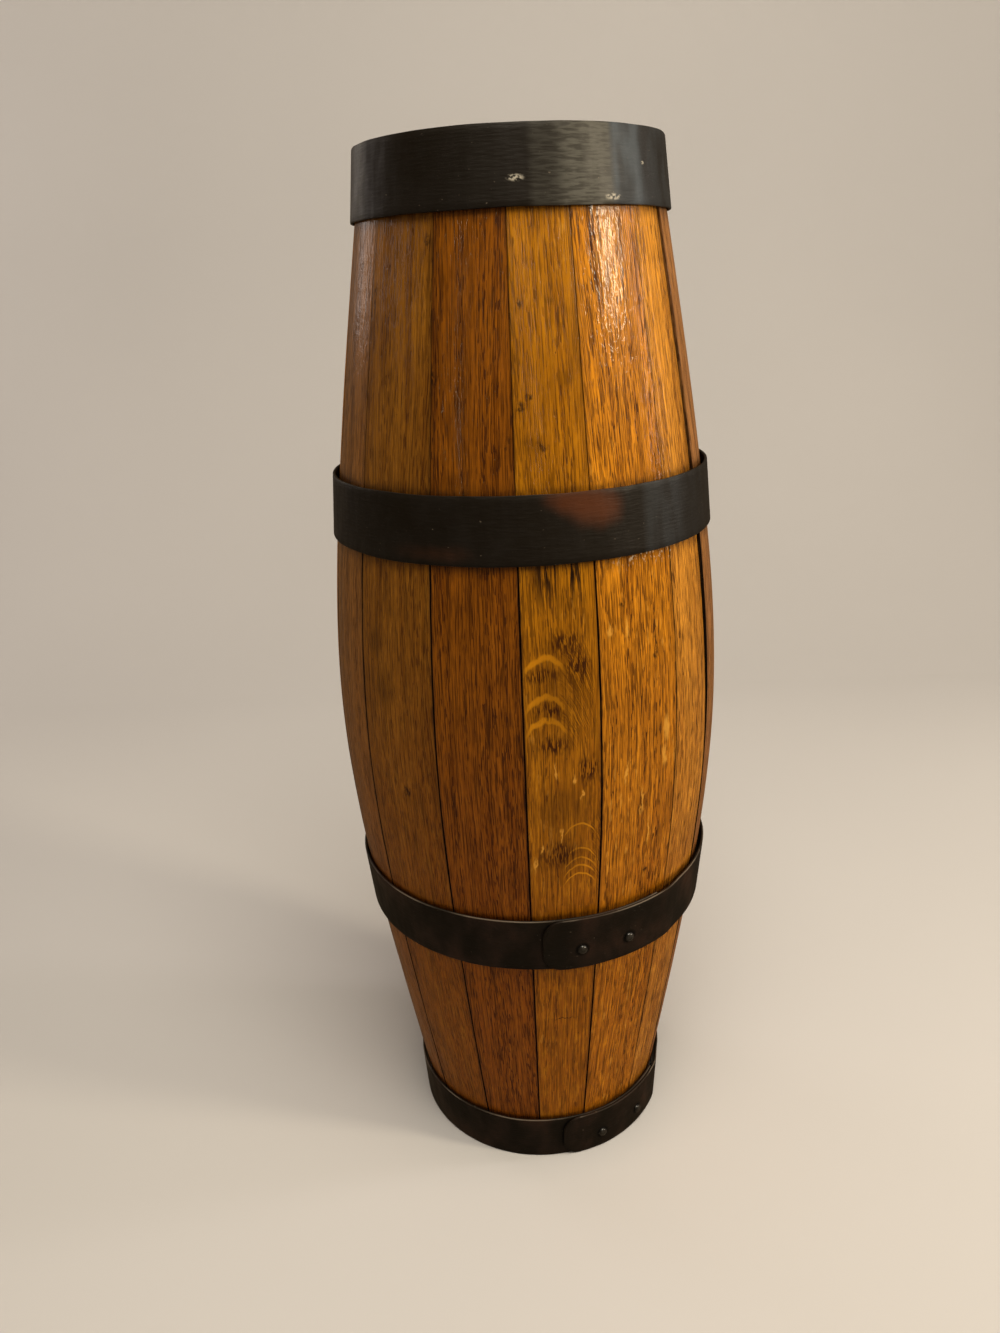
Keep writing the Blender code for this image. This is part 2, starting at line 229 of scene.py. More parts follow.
# Marks on the front staves: kind, bearing, then height, half width and half length in millimetres
MARKS = {
    "dull": (
        ("knock", -50.2, 583, 2.5, 7),
        ("knock", -27.5, 608, 3, 4),
        ("stain", -45.7, 395, 9, 16),
        ("knock", -36.8, 303, 4, 5),
        ("stain", -42.5, 366, 11, 22),
    ),
    "russet": (
        ("knock", -2.8, 508, 2, 5),
        ("stain", -19.5, 489.6, 9, 7),
        ("knock", -25.2, 543, 3, 9),
    ),
    "ochre": (
        ("knock", 1.2, 526, 4, 4),
        ("knock", 6.2, 506, 5, 3),
        ("stain", 14.4, 539, 6, 8),
        ("stain", 10.7, 577, 4, 4),
        ("stain", 4.0, 506, 10, 9),
        ("knock", 8.8, 133.5, 11, 1),
        ("knock", 3.2, 531, 3, 2),
        ("knock", 1.6, 578, 2, 3),
        ("stain", 9.0, 372, 22, 44),
        ("stain", 9.0, 268, 20, 22),
        ("stain", 8.6, 300, 26, 26),
        ("tuft", 10.2, 401, 14, 11),
        ("tuft", 13.5, 388, 12, 14),
        ("tuft", 3.6, 382.5, 14, 7),
        ("tuft", 5.5, 362, 15, 8),
        ("tuft", 6.4, 341, 15, 8),
        ("tuft", 15.6, 323.4, 10, 13),
        ("tuft", 7.6, 268, 17, 14),
        ("fleck", 6.7, 324, 0.9, 8),
        ("fleck", 11.5, 318.4, 1.2, 4),
        ("fleck", 13.9, 307.7, 0.9, 4),
        ("fleck", 7.8, 281, 0.9, 6),
        ("fleck", 2.6, 273, 0.9, 5),
        ("fleck", 0.7, 262, 0.9, 6),
    ),
    "amber": (
        ("knock", 35.1, 242, 3, 3),
        ("knock", 26.9, 418, 3, 4),
        ("stain", 21.9, 133, 6, 8),
        ("knock", 37.2, 393, 0.8, 34),
        ("fleck", 40.8, 337, 3.2, 12),
        ("fleck", 40.2, 318.7, 2.8, 10),
        ("fleck", 32.1, 294.5, 1.1, 13),
        ("fleck", 35.0, 269.6, 1.1, 13),
        ("fleck", 26.8, 315.4, 1.0, 11),
        ("fleck", 22.6, 403.8, 1.6, 7),
        ("fleck", 27.8, 405.3, 1.8, 8),
    ),
}
# Nests of arched figure: bearing of the apex, then tightness, half width, line and crests in millimetres
FIGURED_TONE = "ochre"
FIGURED_STAVE = "stave_03"
ARCH_NESTS = (
    (4.6, 15, 13, 2.6, (393.5, 370.5, 357.0)),
    (13.2, 11, 10, 0.9, (288.4, 271.3, 264.4, 259.0, 253.0)),
)
# The hair lines lie some degrees to the right of a nest, in a patch of these half sizes
HAIR_TURN = 8.0
HAIR_PATCH = (13, 8, 42)
# Clearance to the staves at the lower and upper edge in millimetres, bearing of the lap's free end,
# length of the lap in degrees and drift towards +X in millimetres
HOOPS = {
    "bottom_chime_hoop": (4.6, 0.9, 9.2, 54.0, 0.0),
    "lower_bilge_hoop": (2.6, 1.3, 1.7, 38.0, 0.7),
    "upper_bilge_hoop": (0.6, 2.4, 186.0, 38.0, 0.0),
    "top_chime_hoop": (0.6, 3.0, 192.0, 54.0, 0.0),
}
# The stave whose right edge has sunk below its neighbour, which leaves a black open seam
SUNKEN_STAVE = "stave_05"
SUNKEN_DEPTH = 1.4 * MM
BUNG_STAVE = "bung_stave"
BUNG_STEPS = 56
RIVET_STEPS = 28
HEAD_STEPS = 96
# Edges that bend by more than this stay sharp
SHARP_ANGLE = math.radians(38)
# What the paint's finish needs to know at each corner of a hoop or rivet
PAINT_VALUES = ("strip", "rim", "rust", "rubbed", "cool", "grime")
# What lies less deep than this belongs to a stave's outer face
FACE_DEPTH = 4 * MM
# How deep a painted mark reaches into the wood or iron under it
MARK_DEPTH = 8 * MM
# Lower and upper edge of each hoop, measured once on the frame
HOOP_EDGES = {name: (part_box(name)[0].z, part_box(name)[1].z) for name in HOOPS}


# Small helpers for pieces


def outward(bearing):
    """The level direction that points out of the barrel at a bearing."""
    angle = math.radians(bearing)
    return Vector((math.sin(angle), -math.cos(angle), 0))


def bearing_span(node):
    """First and last bearing of a CAD node's corners."""
    corners = [vert.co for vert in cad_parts[node].data.vertices]
    middle = sum(corners, Vector()) / len(corners)
    centre = math.degrees(math.atan2(middle.x, -middle.y))
    turns = [math.degrees(math.atan2(co.x, -co.y)) - centre for co in corners]
    turns = [(turn + 180) % 360 - 180 for turn in turns]
    return centre + min(turns), centre + max(turns)


def smooth_step(value, low, high):
    """0 below low, 1 above high and a smooth rise between."""
    share = min(max((value - low) / (high - low), 0), 1)
    return share * share * (3 - 2 * share)


def loft(rings):
    """A closed body through rings of points, with a face over each end."""
    bm = bmesh.new()
    rows = [[bm.verts.new(point) for point in ring] for ring in rings]
    for near, far in zip(rows, rows[1:]):
        for here, vert in enumerate(near):
            after = (here + 1) % len(near)
            bm.faces.new((vert, near[after], far[after], far[here]))
    bm.faces.new(rows[0])
    bm.faces.new(rows[-1])
    return bm


def turned_body(outline, steps):
    """A body turned about Z from (radius, height) points that run from axis to axis."""
    bm = bmesh.new()
    corners = [bm.verts.new((radius, 0, height)) for radius, height in outline]
    edges = [bm.edges.new(pair) for pair in zip(corners, corners[1:])]
    bmesh.ops.spin(
        bm, geom=corners + edges, angle=2 * math.pi, steps=steps, axis=(0, 0, 1), cent=(0, 0, 0)
    )
    bmesh.ops.remove_doubles(bm, verts=bm.verts, dist=0.01 * MM)
    return bm


def finish_piece(name, bm, material, body, node, values=None):
    """Turn a bmesh into a shaded piece that stands for a CAD node and rides on its body."""
    bmesh.ops.recalc_face_normals(bm, faces=bm.faces)
    mesh = bpy.data.meshes.new(name)
    bm.to_mesh(mesh)
    bm.free()
    mesh.shade_smooth()
    mesh.set_sharp_from_angle(angle=SHARP_ANGLE)
    for key, found in (values or {}).items():
        kind = "FLOAT_VECTOR" if hasattr(found[0], "__len__") else "FLOAT"
        layer = mesh.attributes.new(key, kind, "POINT")
        for entry, value in zip(layer.data, found):
            if kind == "FLOAT":
                entry.value = value
            else:
                entry.vector = value
    mesh.materials.append(material)
    made = bpy.data.objects.new(name, mesh)
    bpy.context.scene.collection.objects.link(made)
    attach(made, body)
    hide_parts(node)


# Materials


def add(tree, kind, sockets=None, **settings):
    """Add a shader node, set it up and give each named socket a link or a value."""
    node = tree.nodes.new("ShaderNode" + kind)
    for key, value in settings.items():
        setattr(node, key, value)
    for key, value in (sockets or {}).items():
        if isinstance(value, bpy.types.NodeSocket):
            tree.links.new(value, node.inputs[key])
        else:
            node.inputs[key].default_value = value
    return node


def scaled_colour(colour, share, towards=(1.0, 1.0, 1.0)):
    """A colour made darker or lighter, each channel by its own share."""
    return (*[min(c * share * t, 1.0) for c, t in zip(colour[:3], towards)], 1.0)


class Finish:
    """A material whose colour is built up in layers over a ground colour."""

    def __init__(self, name, ground):
        self.material = bpy.data.materials.new(name)
        self.material.use_nodes = True
        self.tree = self.material.node_tree
        self.shader = self.tree.nodes["Principled BSDF"]
        self.colour = ground

    def streaks(self, coords, width, length, detail=2.0, output="Fac"):
        """Noise drawn out along the third axis; one streak's width and length in millimetres."""
        cells = (1 / (width * MM), 1 / (width * MM), 1 / (length * MM))
        scaled = add(self.tree, "VectorMath", {0: coords, 1: cells}, operation="MULTIPLY")
        sockets = {"Vector": scaled.outputs[0], "Scale": 1.0, "Detail": detail}
        return add(self.tree, "TexNoise", sockets).outputs[output]

    def swayed(self, coords, sway, reach):
        """Coordinates pushed to and fro by a noise, at most by half of each reach in millimetres."""
        push = add(self.tree, "VectorMath", {0: sway, 1: (0.5, 0.5, 0.5)}, operation="SUBTRACT")
        scale = [size * MM for size in reach]
        push = add(self.tree, "VectorMath", {0: push.outputs[0], 1: scale}, operation="MULTIPLY")
        return add(self.tree, "VectorMath", {0: coords, 1: push.outputs[0]}, operation="ADD").outputs[0]

    def from_mark(self, coords, centre, half_sizes):
        """Distance from the centre of a mark, 1 at its edge."""
        offset = add(self.tree, "VectorMath", {0: coords, 1: centre}, operation="SUBTRACT")
        inverse = [1 / size for size in half_sizes]
        scaled = add(self.tree, "VectorMath", {0: offset.outputs[0], 1: inverse}, operation="MULTIPLY")
        return add(self.tree, "VectorMath", {0: scaled.outputs[0]}, operation="LENGTH").outputs["Value"]

    def lay(self, colour, pattern, low, high, most=1.0, least=0.0, within=None):
        """Lay a colour on as a pattern goes from low to high; gives back how much of it lies where."""
        limits = {"Value": pattern, "From Min": low, "From Max": high, "To Min": least, "To Max": most}
        share = add(self.tree, "MapRange", limits, interpolation_type="SMOOTHSTEP").outputs[0]
        if within is not None:
            share = add(self.tree, "Math", {0: share, 1: within}, operation="MULTIPLY").outputs[0]
        mixed = add(self.tree, "Mix", {0: share, 6: self.colour, 7: colour}, data_type="RGBA")
        self.colour = mixed.outputs[2]
        return share

    def close(self, roughness, relief, strength, depth):
        """Link the colour, the roughness and the relief to the shader; the relief's depth in millimetres."""
        sockets = {"Strength": strength, "Distance": depth * MM, "Height": relief}
        bump = add(self.tree, "Bump", sockets)
        self.tree.links.new(self.colour, self.shader.inputs["Base Color"])
        self.tree.links.new(roughness, self.shader.inputs["Roughness"])
        self.tree.links.new(bump.outputs[0], self.shader.inputs["Normal"])
        return self.material


def varnished_oak(tone, marks):
    """Oak planed along the grain, darkened by age and varnished.

    The eye sees dark broken lines of open pores along the stave, bands of growth rings between them,
    pale flecks of ray on some staves and a satin varnish that glints over all of it.
    """
    colours = bpy.context.scene.oak_colours
    colour = getattr(colours, tone)
    line_strength, ray_strength = TONE_GRAIN[tone]
    deep = scaled_colour(colour, 0.24, (1.0, 0.9, 0.55))
    dull = scaled_colour(colour, 0.68, (1.0, 0.92, 0.8))
    pale = scaled_colour(colour, 1.5, (1.0, 1.05, 0.9))
    oak = Finish(f"varnished_oak_{tone}", dull)
    tree = oak.tree
    grain = add(tree, "Attribute", attribute_name="grain").outputs["Vector"]

    # The log's slow sway, a few millimetres, keeps the lines from looking ruled
    lines = oak.swayed(grain, oak.streaks(grain, 24, 190, 1.0, "Color"), (7, 7, 0))
    rings = oak.streaks(lines, 4.5, 420)
    # Pore lines are about 0.3 mm wide in life and are drawn 0.6 mm wide, so that they show
    fibres = oak.streaks(lines, 0.6, 27, 1.0)
    pores = oak.streaks(lines, 0.56, 8, 0.5)
    veins = oak.streaks(lines, 2.0, 110)
    blotches = oak.streaks(grain, 24, 80, 3.0)
    mottle = oak.streaks(grain, 4.5, 10, 4.0)
    specks = oak.streaks(grain, 1.7, 2.6)

    oak.lay(colour, rings, 0.33, 0.52)
    oak.lay(pale, blotches, 0.48, 0.76, 0.45)
    oak.lay(dull, blotches, 0.5, 0.25, 0.4)
    # Painted shade: below half way up the staves are laid darker, and darker again towards the bottom, for
    # the light that falls off downwards
    height = add(tree, "SeparateXYZ", {0: add(tree, "TexCoord").outputs["Object"]}).outputs[2]
    oak.lay(colours.lower_shade, height, 0.46, 0.14, 0.55)
    oak.lay(deep, height, 0.5, 0.36, 0.08)
    oak.lay(pale, mottle, 0.52, 0.7, 0.3)
    oak.lay(deep, mottle, 0.45, 0.28, 0.22)
    dark_lines = oak.lay(deep, fibres, 0.55, 0.61, 0.9 * line_strength)
    oak.lay(pale, fibres, 0.43, 0.34, 0.5 * line_strength)
    # The edges of the growth rings show as long thin lines, half a millimetre wide
    from_vein = add(tree, "Math", {0: veins, 1: 0.5}, operation="SUBTRACT").outputs[0]
    from_vein = add(tree, "Math", {0: from_vein}, operation="ABSOLUTE").outputs[0]
    oak.lay(deep, from_vein, 0.05, 0.015, 0.5 * line_strength)
    ring_limits = {"Value": rings, "From Min": 0.66, "From Max": 0.4, "To Min": 0.3}
    early_wood = add(tree, "MapRange", ring_limits, interpolation_type="SMOOTHSTEP").outputs[0]
    open_pores = oak.lay(colours.pore, pores, 0.57, 0.61, 0.95 * line_strength, within=early_wood)
    oak.lay(colours.dirt, specks, 0.75, 0.79, 0.75)

    # Ray flecks: pale slivers two or three millimetres across, drawn out along the stave
    if ray_strength:
        patch_limits = {"Value": blotches, "From Min": 0.42, "From Max": 0.6, "To Max": ray_strength}
        patches = add(tree, "MapRange", patch_limits, interpolation_type="SMOOTHSTEP").outputs[0]
        oak.lay(colours.ray, oak.streaks(lines, 2.4, 11), 0.6, 0.68, within=patches)
    if tone == FIGURED_TONE:
        lay_arches(oak, lines, deep, pale)
    lay_marks(oak, grain, marks, deep)

    dirt = add(tree, "Attribute", attribute_name="dirt").outputs["Fac"]
    oak.lay(colours.dirt, mottle, 0.25, 0.65, least=0.35, within=dirt)
    soot = add(tree, "Attribute", attribute_name="soot").outputs["Fac"]
    oak.lay(colours.dirt, oak.streaks(grain, 1.5, 22, 3.0), 0.44, 0.56, within=soot)
    # Whitened specks under the upper bilge hoop: partly scuffed varnish, partly painted glints on the lit
    # right front
    scuff = add(tree, "Attribute", attribute_name="scuff").outputs["Fac"]
    oak.lay(colours.scuff, oak.streaks(grain, 1.2, 2.2, 3.0), 0.57, 0.66, within=scuff)
    # Painted shade: the eased edges at each seam are laid black and dulled, for the shade in the gap between
    # staves
    seam = add(tree, "Attribute", attribute_name="seam").outputs["Fac"]
    oak.lay(colours.seam, seam, 0.0, 1.0)

    gloss_limits = {"Value": mottle, "From Min": 0.3, "From Max": 0.7, "To Min": 0.3, "To Max": 0.44}
    gloss = add(tree, "MapRange", gloss_limits).outputs[0]
    gloss = add(tree, "Math", {0: open_pores, 1: 0.2, 2: gloss}, operation="MULTIPLY_ADD").outputs[0]
    dull_seam = {0: seam, 1: 0.5, 2: gloss}
    gloss = add(tree, "Math", dull_seam, operation="MULTIPLY_ADD", use_clamp=True).outputs[0]
    relief = add(tree, "Math", {0: dark_lines, 1: -0.7, 2: mottle}, operation="MULTIPLY_ADD").outputs[0]
    relief = add(tree, "Math", {0: open_pores, 1: -0.8, 2: relief}, operation="MULTIPLY_ADD").outputs[0]
    # The varnish has a fine peel of its own and follows the pores, which breaks up its highlights
    peel = {0: oak.streaks(grain, 1.8, 3.2), 1: 1.1, 2: relief}
    peel = add(tree, "Math", peel, operation="MULTIPLY_ADD").outputs[0]
    skin = add(tree, "Bump", {"Strength": 0.9, "Distance": 0.25 * MM, "Height": peel})
    tree.links.new(skin.outputs[0], oak.shader.inputs["Coat Normal"])
    oak.shader.inputs["IOR"].default_value = 1.5
    # Under the varnish the wood itself hardly shines, so the gloss comes from the coat
    oak.shader.inputs["Specular IOR Level"].default_value = 0.07
    oak.shader.inputs["Coat Weight"].default_value = 0.38
    oak.shader.inputs["Coat Roughness"].default_value = 0.09
    return oak.close(gloss, relief, 0.5, 0.25)


def lay_arches(oak, lines, deep, pale):
    """Cathedral figure where the saw ran out of the rings: pale arches, with hair lines on their flanks."""
    tree = oak.tree
    wobble = oak.streaks(lines, 4, 7, 2.0)
    for bearing, tightness, half_width, line, crests in ARCH_NESTS:
        apex = stave_place(FIGURED_STAVE, bearing, crests[0])
        offset = add(tree, "VectorMath", {0: lines, 1: apex}, operation="SUBTRACT").outputs[0]
        split = add(tree, "SeparateXYZ", {0: offset}).outputs
        square = add(tree, "Math", {0: split[0], 1: split[0]}, operation="MULTIPLY").outputs[0]
        bent = {0: square, 1: 1 / (tightness * MM), 2: split[2]}
        crest_height = add(tree, "Math", bent, operation="MULTIPLY_ADD").outputs[0]
        uneven = {0: wobble, 1: 2 * line * MM, 2: crest_height}
        crest_height = add(tree, "Math", uneven, operation="MULTIPLY_ADD").outputs[0]
        lay_hairs(oak, lines, split[0], crest_height, bearing, crests, deep, pale)
        far, near = (half_width * MM) ** 2, (0.6 * half_width * MM) ** 2
        limits = {"Value": square, "From Min": far, "From Max": near}
        near_apex = add(tree, "MapRange", limits, interpolation_type="SMOOTHSTEP").outputs[0]
        for crest in crests:
            level = (crest - crests[0] + line) * MM
            gap = add(tree, "Math", {0: crest_height, 1: level}, operation="SUBTRACT").outputs[0]
            gap = add(tree, "Math", {0: gap}, operation="ABSOLUTE").outputs[0]
            oak.lay(pale, gap, line * MM, 0.3 * line * MM, 0.9, within=near_apex)


def lay_hairs(oak, lines, across, crest_height, bearing, crests, deep, pale):
    """Fine dark and pale lines that run down the right flank of a nest of arches."""
    tree = oak.tree
    place = add(tree, "CombineXYZ", {0: across, 1: across, 2: crest_height}).outputs[0]
    place = add(tree, "VectorMath", {0: place, 1: (0.12, 0.12, 1.0)}, operation="MULTIPLY").outputs[0]
    hairs = oak.streaks(place, 1.2, 1.2)
    middle = sum(crests) / len(crests)
    centre = stave_place(FIGURED_STAVE, bearing + HAIR_TURN, middle)
    reach = oak.from_mark(lines, centre, [size * MM for size in HAIR_PATCH])
    limits = {"Value": reach, "From Min": 1.0, "From Max": 0.5}
    patch = add(tree, "MapRange", limits, interpolation_type="SMOOTHSTEP").outputs[0]
    oak.lay(deep, hairs, 0.48, 0.4, 0.75, within=patch)
    oak.lay(pale, hairs, 0.57, 0.64, 0.6, within=patch)


def lay_marks(oak, grain, marks, deep):
    """Knocks, soft stains, pale flecks and tufts of dark pores at their own places on a stave."""
    colours = bpy.context.scene.oak_colours
    tree = oak.tree
    torn = oak.swayed(grain, oak.streaks(grain, 4, 7, 4.0, "Color"), (7, 0, 9))
    crumbs = {"Value": oak.streaks(grain, 1.5, 3.0), "From Min": 0.32, "From Max": 0.58}
    broken = add(tree, "MapRange", crumbs, interpolation_type="SMOOTHSTEP").outputs[0]
    dashes = {"Value": oak.streaks(grain, 0.8, 5.5, 1.5), "From Min": 0.44, "From Max": 0.56}
    bristly = add(tree, "MapRange", dashes, interpolation_type="SMOOTHSTEP").outputs[0]
    looks = {
        "knock": (colours.dirt, 0.85, broken),
        "stain": (deep, 0.45, None),
        "fleck": (colours.ray, 0.85, None),
        "tuft": (colours.pore, 0.95, bristly),
    }
    for kind, centre, half_sizes in marks:
        shade, most, within = looks[kind]
        reach = oak.from_mark(torn, centre, half_sizes)
        oak.lay(shade, reach, 1.0, 0.2, most, within=within)


def planed_oak():
    """Planed oak of the heads, thinly varnished: soft grey-brown rings and fine pores, little gloss."""
    colours = bpy.context.scene.oak_colours
    deep = scaled_colour(colours.bare, 0.55, (1, 0.92, 0.8))
    oak = Finish("planed_oak_head", deep)
    tree = oak.tree
    grain = add(tree, "Attribute", attribute_name="grain").outputs["Vector"]
    lines = oak.swayed(grain, oak.streaks(grain, 30, 120, 1.0, "Color"), (9, 9, 0))
    pores = oak.streaks(lines, 0.8, 10)
    stains = oak.streaks(grain, 34, 40, 3.0)
    oak.lay(colours.bare, oak.streaks(lines, 3.0, 260), 0.35, 0.66)
    oak.lay(colours.pore, pores, 0.56, 0.66, 0.6)
    oak.lay(deep, stains, 0.5, 0.75, 0.5)
    dirt = add(tree, "Attribute", attribute_name="dirt").outputs["Fac"]
    oak.lay(colours.dirt, stains, 0.2, 0.6, least=0.4, within=dirt)
    gloss_limits = {"Value": stains, "From Min": 0.3, "From Max": 0.7, "To Min": 0.5, "To Max": 0.66}
    gloss = add(tree, "MapRange", gloss_limits).outputs[0]
    oak.shader.inputs["IOR"].default_value = 1.5
    return oak.close(gloss, pores, 0.3, 0.2)


def turned_wood(name):
    """Turned hardwood, left bare: fine even lines along the grain and a dry, matt face."""
    colours = bpy.context.scene.oak_colours
    deep = scaled_colour(colours.turned, 0.55, (1, 0.92, 0.8))
    wood = Finish(name, deep)
    tree = wood.tree
    grain = add(tree, "TexCoord").outputs["Object"]
    pores = wood.streaks(grain, 0.7, 7)
    handled = wood.streaks(grain, 9, 14)
    wood.lay(colours.turned, wood.streaks(grain, 2.2, 60), 0.35, 0.65)
    wood.lay(colours.pore, pores, 0.57, 0.68, 0.55)
    wood.lay(deep, handled, 0.52, 0.75, 0.5)
    gloss_limits = {"Value": handled, "From Min": 0.3, "From Max": 0.7, "To Min": 0.5, "To Max": 0.68}
    gloss = add(tree, "MapRange", gloss_limits).outputs[0]
    wood.shader.inputs["IOR"].default_value = 1.5
    return wood.close(gloss, pores, 0.3, 0.2)


def brushed_black_paint(name, scuffs=(), shade_marks=(), coat=0.0):
    """Satin black paint brushed over old hammered hoop iron.

    The eye sees a brown-black film with a cloudy sheen, greyed by handling and as painted sheen, blue-grey
    as a painted reflection, red-brown where rust stains it from beneath, painted shade at the laps and
    rivets, and a thin pale line along the edges, partly wear through to the iron and partly painted glint.
    """
    colours = bpy.context.scene.iron_colours
    paint = Finish(name, colours.paint)
    tree = paint.tree
    strip = add(tree, "Attribute", attribute_name="strip").outputs["Vector"]
    rim = add(tree, "Attribute", attribute_name="rim").outputs["Fac"]
    rust = add(tree, "Attribute", attribute_name="rust").outputs["Fac"]
    rubbed = add(tree, "Attribute", attribute_name="rubbed").outputs["Fac"]
    cool = add(tree, "Attribute", attribute_name="cool").outputs["Fac"]
    grime = add(tree, "Attribute", attribute_name="grime").outputs["Fac"]
    brush = paint.streaks(strip, 1.3, 9, 3.0)
    clouds = paint.streaks(strip, 34, 22, 3.0)
    hammering = paint.streaks(strip, 26, 9, 1.5)
    grit = paint.streaks(strip, 1.6, 2.2, 3.0)
    stretches = paint.streaks(strip, 12, 34, 4.0)

    paint.lay(colours.slate, clouds, 0.4, 0.7)
    paint.lay(colours.slate, brush, 0.52, 0.74, 0.4)
    # Painted sheen, partly handling wear: grey laid where the top hoop and the rivets' crowns catch the
    # light
    paint.lay(colours.rubbed, brush, 0.38, 0.6, least=0.4, within=rubbed)
    # Painted reflection of a bluish wall, laid blue-grey on the hoops' right side
    paint.lay(colours.cool, hammering, 0.3, 0.6, least=0.4, within=cool)
    # Painted shade along the laps' free ends and round the rivets' rims
    paint.lay(colours.grime, grime, 0.0, 1.0)
    stained = add(tree, "Math", {0: clouds, 1: 0.5, 2: rust}, operation="MULTIPLY_ADD").outputs[0]
    paint.lay(colours.rust, stained, 0.42, 0.95, 0.9)
    # Painted shadows round the rivets of the lower hoops
    for centre, half_sizes in shade_marks:
        paint.lay(colours.grime, paint.from_mark(strip, centre, half_sizes), 1.0, 0.7, 0.9)
    # Partly wear, partly painted glint: a pale line on the edges that the rim values put near, mainly the
    # lower hoops' upper edges
    edge_limits = {"Value": rim, "From Min": 0.7 * MM, "From Max": 0.15 * MM}
    near_edge = add(tree, "MapRange", edge_limits, interpolation_type="SMOOTHSTEP").outputs[0]
    paint.lay(colours.worn_and_glint, stretches, 0.44, 0.64, 0.8, 0.1, within=near_edge)
    paint.lay(colours.worn_and_glint, grit, 0.7, 0.75, 0.5)
    scrape_limits = {"Value": grit, "From Min": 0.42, "From Max": 0.56}
    scraped = add(tree, "MapRange", scrape_limits, interpolation_type="SMOOTHSTEP").outputs[0]
    for centre, half_sizes in scuffs:
        reach = paint.from_mark(strip, centre, half_sizes)
        paint.lay(colours.scratch, reach, 1.0, 0.35, within=scraped)

    gloss_limits = {"Value": clouds, "From Min": 0.3, "From Max": 0.7, "To Min": 0.5, "To Max": 0.32}
    satin = add(tree, "MapRange", gloss_limits).outputs[0]
    satin = add(tree, "Math", {0: brush, 1: 0.2, 2: satin}, operation="MULTIPLY_ADD").outputs[0]
    relief = add(tree, "Math", {0: hammering, 1: 3.0, 2: brush}, operation="MULTIPLY_ADD").outputs[0]
    paint.shader.inputs["IOR"].default_value = 1.52
    paint.shader.inputs["Specular IOR Level"].default_value = 0.25
    paint.shader.inputs["Coat Weight"].default_value = coat
    paint.shader.inputs["Coat Roughness"].default_value = 0.12
    return paint.close(satin, relief, 0.5, 0.35)


# Staves


def stave_radius(z):
    """Outer radius of the staves at a height: bent at the belly, nearly straight towards the ends."""
    sizes = bpy.context.scene.cask_sizes
    share = abs(2 * z / sizes.height - 1)
    sweep = math.hypot(share, sizes.bend) - sizes.bend
    full_sweep = math.hypot(1, sizes.bend) - sizes.bend
    return sizes.belly_radius - (sizes.belly_radius - sizes.chime_radius) * sweep / full_sweep


def bore_radius(z):
    """Inner radius of the staves at a height."""
    sizes = bpy.context.scene.cask_sizes
    share = abs(2 * z / sizes.height - 1)
    thinned = sizes.end_thickness - sizes.belly_thickness
    return stave_radius(z) - sizes.belly_thickness - thinned * share


def croze_floor():
    sizes = bpy.context.scene.cask_sizes
    return bore_radius(sizes.croze_from_end) + sizes.croze_depth


def stave_rows():
    """(height, inner radius or None for the outer face) once round a stave's edge, from the top down."""
    sizes = bpy.context.scene.cask_sizes
    spans = 88
    outside = {round(sizes.height * step / spans, 5) for step in range(1, spans)}
    for name in HOOPS:
        low, high = HOOP_EDGES[name]
        for reach in (0.5, 3, 7):
            outside |= {round(low - reach * MM, 5), round(high + reach * MM, 5)}
    heights = [0] + sorted(z for z in outside if 1 * MM < z < sizes.height - 1 * MM) + [sizes.height]
    rows = [(z, None) for z in reversed(heights)]
    start, width, draft = sizes.croze_from_end, sizes.croze_width, 0.5 * MM
    end = [
        (0, sizes.chime_radius - sizes.chime_face),
        (sizes.chime_bevel, bore_radius(sizes.chime_bevel)),
        (start, bore_radius(start)),
        (start + draft, croze_floor()),
        (start + width - draft, croze_floor()),
        (start + width, bore_radius(start + width)),
    ]
    inside_spans = 22
    bore = [sizes.height * step / inside_spans for step in range(1, inside_spans)]
    rows += end
    rows += [(z, bore_radius(z)) for z in bore if start + width < z < sizes.height - start - width]
    rows += [(sizes.height - z, radius) for z, radius in reversed(end)]
    return rows


def stations_across():
    """Places across a stave: (share of the half width, distance of the edge in arris radii or None)."""
    near_edge = (0.0, 0.15, 0.5, 1.0, 2.0, 5.0)
    middle_steps = 10
    left = [(-1.0, reach) for reach in near_edge]
    inner = [(-1 + 2 * step / middle_steps, None) for step in range(1, middle_steps)]
    right = [(1.0, reach) for reach in reversed(near_edge)]
    return left + inner + right


def hand_planing(seed, share, z):
    """How far the hand-shaped face of one stave lies off the true curve, mostly a little below it."""
    flat = 0.35 * MM * (noise.noise(Vector((seed * 3.7, 1.3, 0.0))) + 0.2) * share * share
    lean = 0.2 * MM * noise.noise(Vector((seed * 1.9, 8.1, 0.0))) * share
    waves = 0.22 * MM * noise.noise(Vector((share * 1.2 + seed * 5.0, seed, z * 14)))
    return flat + lean + waves - 0.3 * MM


def tight_seams(z):
    """How tightly the staves close at a height: 0 at the belly, 1 above the upper bilge hoop."""
    low, high = HOOP_EDGES["upper_bilge_hoop"]
    return smooth_step(z, low, high)


def hoop_dirt(z):
    """Dirt that gathers against the hoops' edges and is gone some millimetres away."""
    away = min(max(low - z, z - high, 0) for low, high in HOOP_EDGES.values())
    return 0.8 * math.exp(-away / (2.2 * MM))


def stave_seed(node):
    return 1.0 + list(STAVE_TONES).index(node)


def grain_shift(node):
    """Where in its own log a stave was cut, so that no two staves show the same grain."""
    seed = stave_seed(node)
    return Vector((0.37 * seed, 0.23 * seed, 1.9 * seed))


def stave_place(node, bearing, height):
    """A bearing and a height in millimetres on a stave's face, in the coordinates of its grain."""
    first, last = bearing_span(node)
    z = height * MM
    across = math.radians(bearing - (first + last) / 2) * stave_radius(z)
    return Vector((across, 0, z)) + grain_shift(node)


